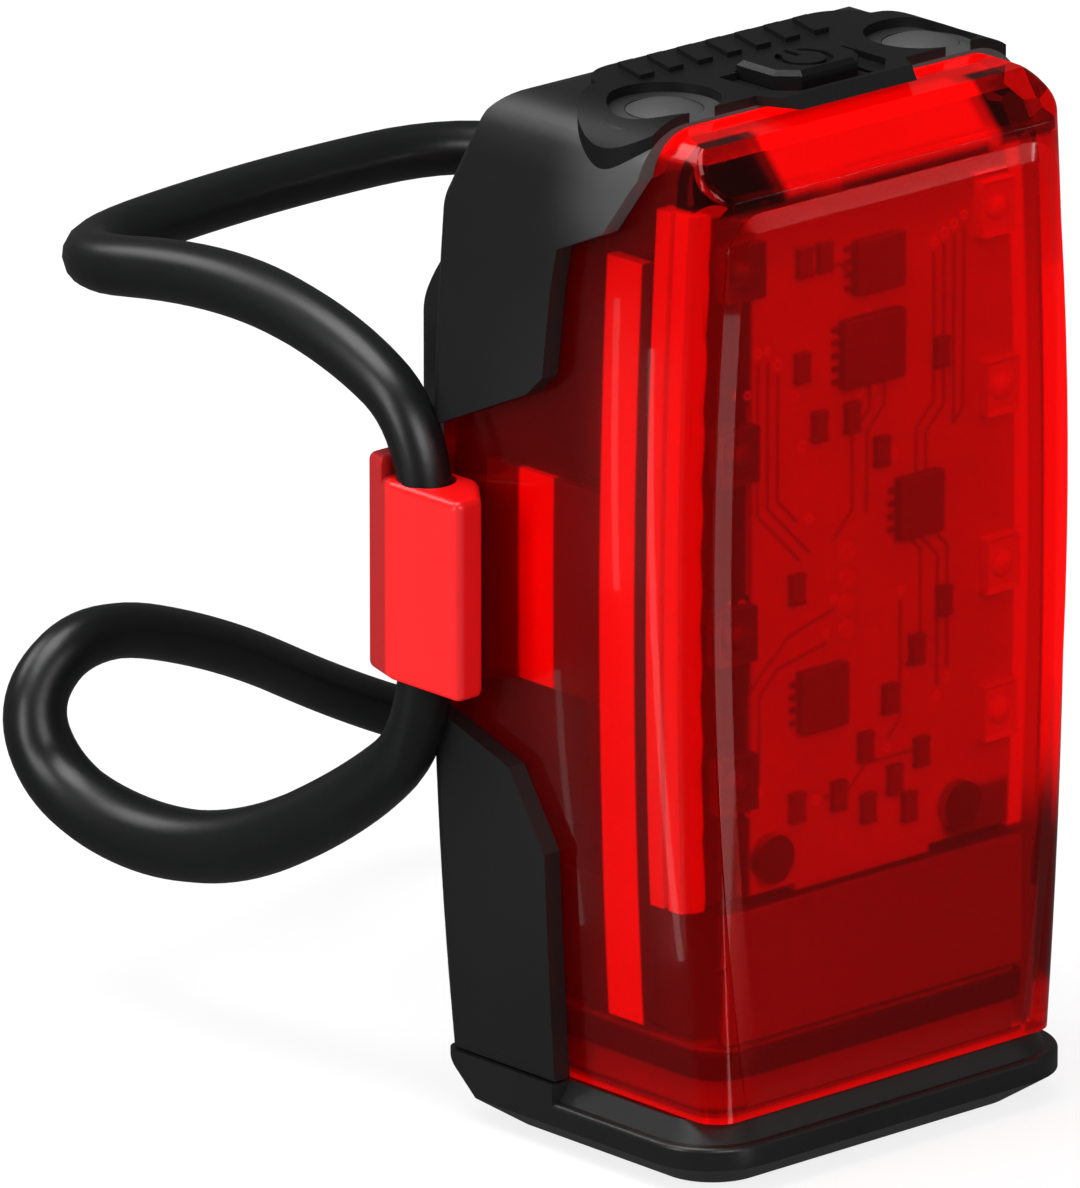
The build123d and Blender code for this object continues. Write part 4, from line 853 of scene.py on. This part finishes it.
def via_nodes(ring, material):
    """A node group that puts a ring on every point of the mesh it works on."""
    group = bpy.data.node_groups.new("rings_on_points", "GeometryNodeTree")
    group.interface.new_socket("Geometry", in_out="INPUT", socket_type="NodeSocketGeometry")
    size = group.interface.new_socket("Ring size", in_out="INPUT", socket_type="NodeSocketFloat")
    size.default_value = VIA_RADIUS * MM
    group.interface.new_socket("Geometry", in_out="OUTPUT", socket_type="NodeSocketGeometry")
    start = group.nodes.new("NodeGroupInput")
    end = group.nodes.new("NodeGroupOutput")
    source = group.nodes.new("GeometryNodeObjectInfo")
    source.inputs["Object"].default_value = ring
    spread = group.nodes.new("FunctionNodeRandomValue")
    spread.data_type = "FLOAT"
    spread.inputs["Min"].default_value = 1 - VIA_SPREAD
    spread.inputs["Max"].default_value = 1 + VIA_SPREAD
    spread.inputs["Seed"].default_value = VIA_SEED
    scaled = group.nodes.new("ShaderNodeMath")
    scaled.operation = "MULTIPLY"
    place = group.nodes.new("GeometryNodeInstanceOnPoints")
    real = group.nodes.new("GeometryNodeRealizeInstances")
    finish = group.nodes.new("GeometryNodeSetMaterial")
    finish.inputs["Material"].default_value = material
    link = group.links.new
    link(start.outputs["Geometry"], place.inputs["Points"])
    link(source.outputs["Geometry"], place.inputs["Instance"])
    link(start.outputs["Ring size"], scaled.inputs[0])
    link(spread.outputs["Value"], scaled.inputs[1])
    link(scaled.outputs["Value"], place.inputs["Scale"])
    link(place.outputs["Instances"], real.inputs["Geometry"])
    link(real.outputs["Geometry"], finish.inputs["Geometry"])
    link(finish.outputs["Geometry"], end.inputs["Geometry"])
    return group, size.identifier


ring_holder = bpy.data.objects.new("via_ring", ring_mesh())
scene.collection.objects.link(ring_holder)
via_points = bpy.data.meshes.new("via_points")
face_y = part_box("circuit_board")[0][1]
via_points.from_pydata([(x * MM, face_y, z * MM) for x, z in VIA_PLACES], [], [])
via_holder = bpy.data.objects.new("via_points", via_points)
scene.collection.objects.link(via_holder)
via_group, size_input = via_nodes(ring_holder, pad_gold)
modifier = via_holder.modifiers.new("rings", "NODES")
modifier.node_group = via_group
modifier[size_input] = VIA_RADIUS * MM
vias = new_piece("board_vias", mesh_of(via_holder), pad_gold, "light_body")
for holder in (via_holder, ring_holder):
    bpy.data.objects.remove(holder)
print("via rings:", len(VIA_PLACES), "faces:", len(vias.data.polygons))

# %% [markdown]
# ## Floor and backdrop
# The photograph is a cut-out on white: the backdrop is white to the eye, but the black pieces and
# the lens mirror hardly any of it, as if dark cards stood round the light. So the world is white
# for camera rays and much dimmer for the rays that glossy and clear pieces send out. The floor
# does the same and keeps a faint shadow.

# %% White for the camera only
MIRRORED_WHITE = 0.1
AMBIENT = 0.45


def backdrop_strength(tree, plain):
    """A strength of 1 for the camera, a dim one for mirrored and refracted rays, else the plain one."""
    path = tree.nodes.new("ShaderNodeLightPath")
    indirect = tree.nodes.new("ShaderNodeMath")
    indirect.operation = "MAXIMUM"
    tree.links.new(path.outputs["Is Glossy Ray"], indirect.inputs[0])
    tree.links.new(path.outputs["Is Transmission Ray"], indirect.inputs[1])
    dim = tree.nodes.new("ShaderNodeMix")
    dim.inputs["A"].default_value = plain
    dim.inputs["B"].default_value = MIRRORED_WHITE
    tree.links.new(indirect.outputs["Value"], dim.inputs["Factor"])
    seen = tree.nodes.new("ShaderNodeMix")
    seen.inputs["B"].default_value = 1.0
    tree.links.new(path.outputs["Is Camera Ray"], seen.inputs["Factor"])
    tree.links.new(dim.outputs["Result"], seen.inputs["A"])
    return seen, path, indirect


world = bpy.data.worlds.new("world")
world.use_nodes = True
scene.world = world
background = world.node_tree.nodes["Background"]
background.inputs["Color"].default_value = (1, 1, 1, 1)
strength, _, _ = backdrop_strength(world.node_tree, AMBIENT)
world.node_tree.links.new(strength.outputs["Result"], background.inputs["Strength"])
print("ambient strength:", AMBIENT)

# %% Floor
FLOOR_HALF = 3.0
FLOOR_WHITE = 0.9
FLOOR_ROUGHNESS = 0.9
PAPER_SHARE = 0.8

floor_mesh = bpy.data.meshes.new("floor")
floor_mesh.from_pydata([(-FLOOR_HALF, -FLOOR_HALF, 0), (FLOOR_HALF, -FLOOR_HALF, 0),
                        (FLOOR_HALF, FLOOR_HALF, 0), (-FLOOR_HALF, FLOOR_HALF, 0)], [],
                       [(0, 1, 2, 3)])
floor = bpy.data.objects.new("floor", floor_mesh)
scene.collection.objects.link(floor)
floor_white = bpy.data.materials.new("floor_white")
floor_white.use_nodes = True
floor_tree = floor_white.node_tree
floor_shader = floor_tree.nodes["Principled BSDF"]
floor_shader.inputs["Base Color"].default_value = (FLOOR_WHITE, FLOOR_WHITE, FLOOR_WHITE, 1)
floor_shader.inputs["Roughness"].default_value = FLOOR_ROUGHNESS
floor_shader.inputs["Specular IOR Level"].default_value = 0
paper = floor_tree.nodes.new("ShaderNodeEmission")
strength, floor_path, mirrored_rays = backdrop_strength(floor_tree, 0.0)
floor_tree.links.new(strength.outputs["Result"], paper.inputs["Strength"])
paper_share = floor_tree.nodes.new("ShaderNodeMath")
paper_share.operation = "MULTIPLY_ADD"
paper_share.inputs[1].default_value = PAPER_SHARE
floor_tree.links.new(floor_path.outputs["Is Camera Ray"], paper_share.inputs[0])
floor_tree.links.new(mirrored_rays.outputs["Value"], paper_share.inputs[2])
floor_mix = floor_tree.nodes.new("ShaderNodeMixShader")
floor_tree.links.new(paper_share.outputs["Value"], floor_mix.inputs["Fac"])
floor_tree.links.new(floor_shader.outputs["BSDF"], floor_mix.inputs[1])
floor_tree.links.new(paper.outputs["Emission"], floor_mix.inputs[2])
floor_tree.links.new(floor_mix.outputs["Shader"], floor_tree.nodes["Material Output"].inputs["Surface"])
floor.data.materials.append(floor_white)

# %% [markdown]
# ## Lamps
# Four large soft lamps give the long highlights: one above, one at the left, one behind the left
# shoulder and one in front. Each is a rectangle that shines towards the middle of the light.

# %% Large soft lamps
MIDDLE = mm(0, 10, 34)


def soft_lamp(name, place, aim, width, height, power):
    """A rectangular soft box lamp at a place, turned to a point."""
    lamp_data = bpy.data.lights.new(name, "AREA")
    lamp_data.shape = "RECTANGLE"
    lamp_data.size = width
    lamp_data.size_y = height
    lamp_data.energy = power
    lamp = bpy.data.objects.new(name, lamp_data)
    lamp.location = place
    lamp.rotation_euler = (aim - place).to_track_quat("-Z", "Y").to_euler()
    lamp.visible_camera = False
    scene.collection.objects.link(lamp)
    return lamp


soft_lamp("top_box", Vector((-0.15, 0.1, 0.7)), MIDDLE, 0.45, 0.45, 4.2)
soft_lamp("left_box", Vector((-0.75, 0.1, 0.3)), MIDDLE, 0.25, 0.5, 2.5)
soft_lamp("shoulder_box", Vector((-0.25, 0.7, 0.62)), MIDDLE, 0.4, 0.35, 2)
soft_lamp("front_box", Vector((-0.25, -0.75, 0.45)), MIDDLE, 0.5, 0.4, 3.8)

# %% [markdown]
# ## Thin lamps for fine glints
# The photograph shows thin pale lines on the lens: along the top and left edges of the raised
# panel, and down the side window. Each comes from a long thin lamp near the lens, placed where the
# surface mirrors it towards the camera.

# %% Thin lamps
PANEL_TOP = mm(0, -11.1, 59.8)
PANEL_TOP_STEP = Vector((0.0641, -0.0767, 0.0009))
PANEL_SIDE_LAMP = mm(18, -108, 1)
PANEL_SIDE_AIM = mm(18, -108, 40)
PANEL_SIDE_TURN = Matrix(((0.949, 0.314, 0), (0.314, -0.949, 0), (0, 0, -1)))
WINDOW_FACE = -15.2
WINDOW_MIRROR = Vector((-0.641, 0.7045, -0.3045))
GLINT_DISTANCE = 36
GLINT_WIDTH = 0.4
GLINT_OVERRUN = 1.1
WINDOW_GLINTS = [(-3.6, 38, 56, 0.00006), (-6.9, 14, 52, 0.00018), (2.2, 12, 28, 0.00004)]

soft_lamp("panel_top_glint", PANEL_TOP + PANEL_TOP_STEP, PANEL_TOP, 0.045, 0.0012, 0.003)
strip = soft_lamp("panel_edge_glint", PANEL_SIDE_LAMP, PANEL_SIDE_AIM, 0.003, 0.19, 0.007)
strip.rotation_euler = PANEL_SIDE_TURN.to_euler()
for number, (along, low, high, power) in enumerate(WINDOW_GLINTS):
    start = mm(WINDOW_FACE, along, (low + high) / 2)
    place = start + WINDOW_MIRROR * GLINT_DISTANCE * MM
    soft_lamp(f"side_glint_{number}", place, start, GLINT_WIDTH * MM, (high - low) * GLINT_OVERRUN * MM,
              power)
print("lamps:", len(bpy.data.lights))
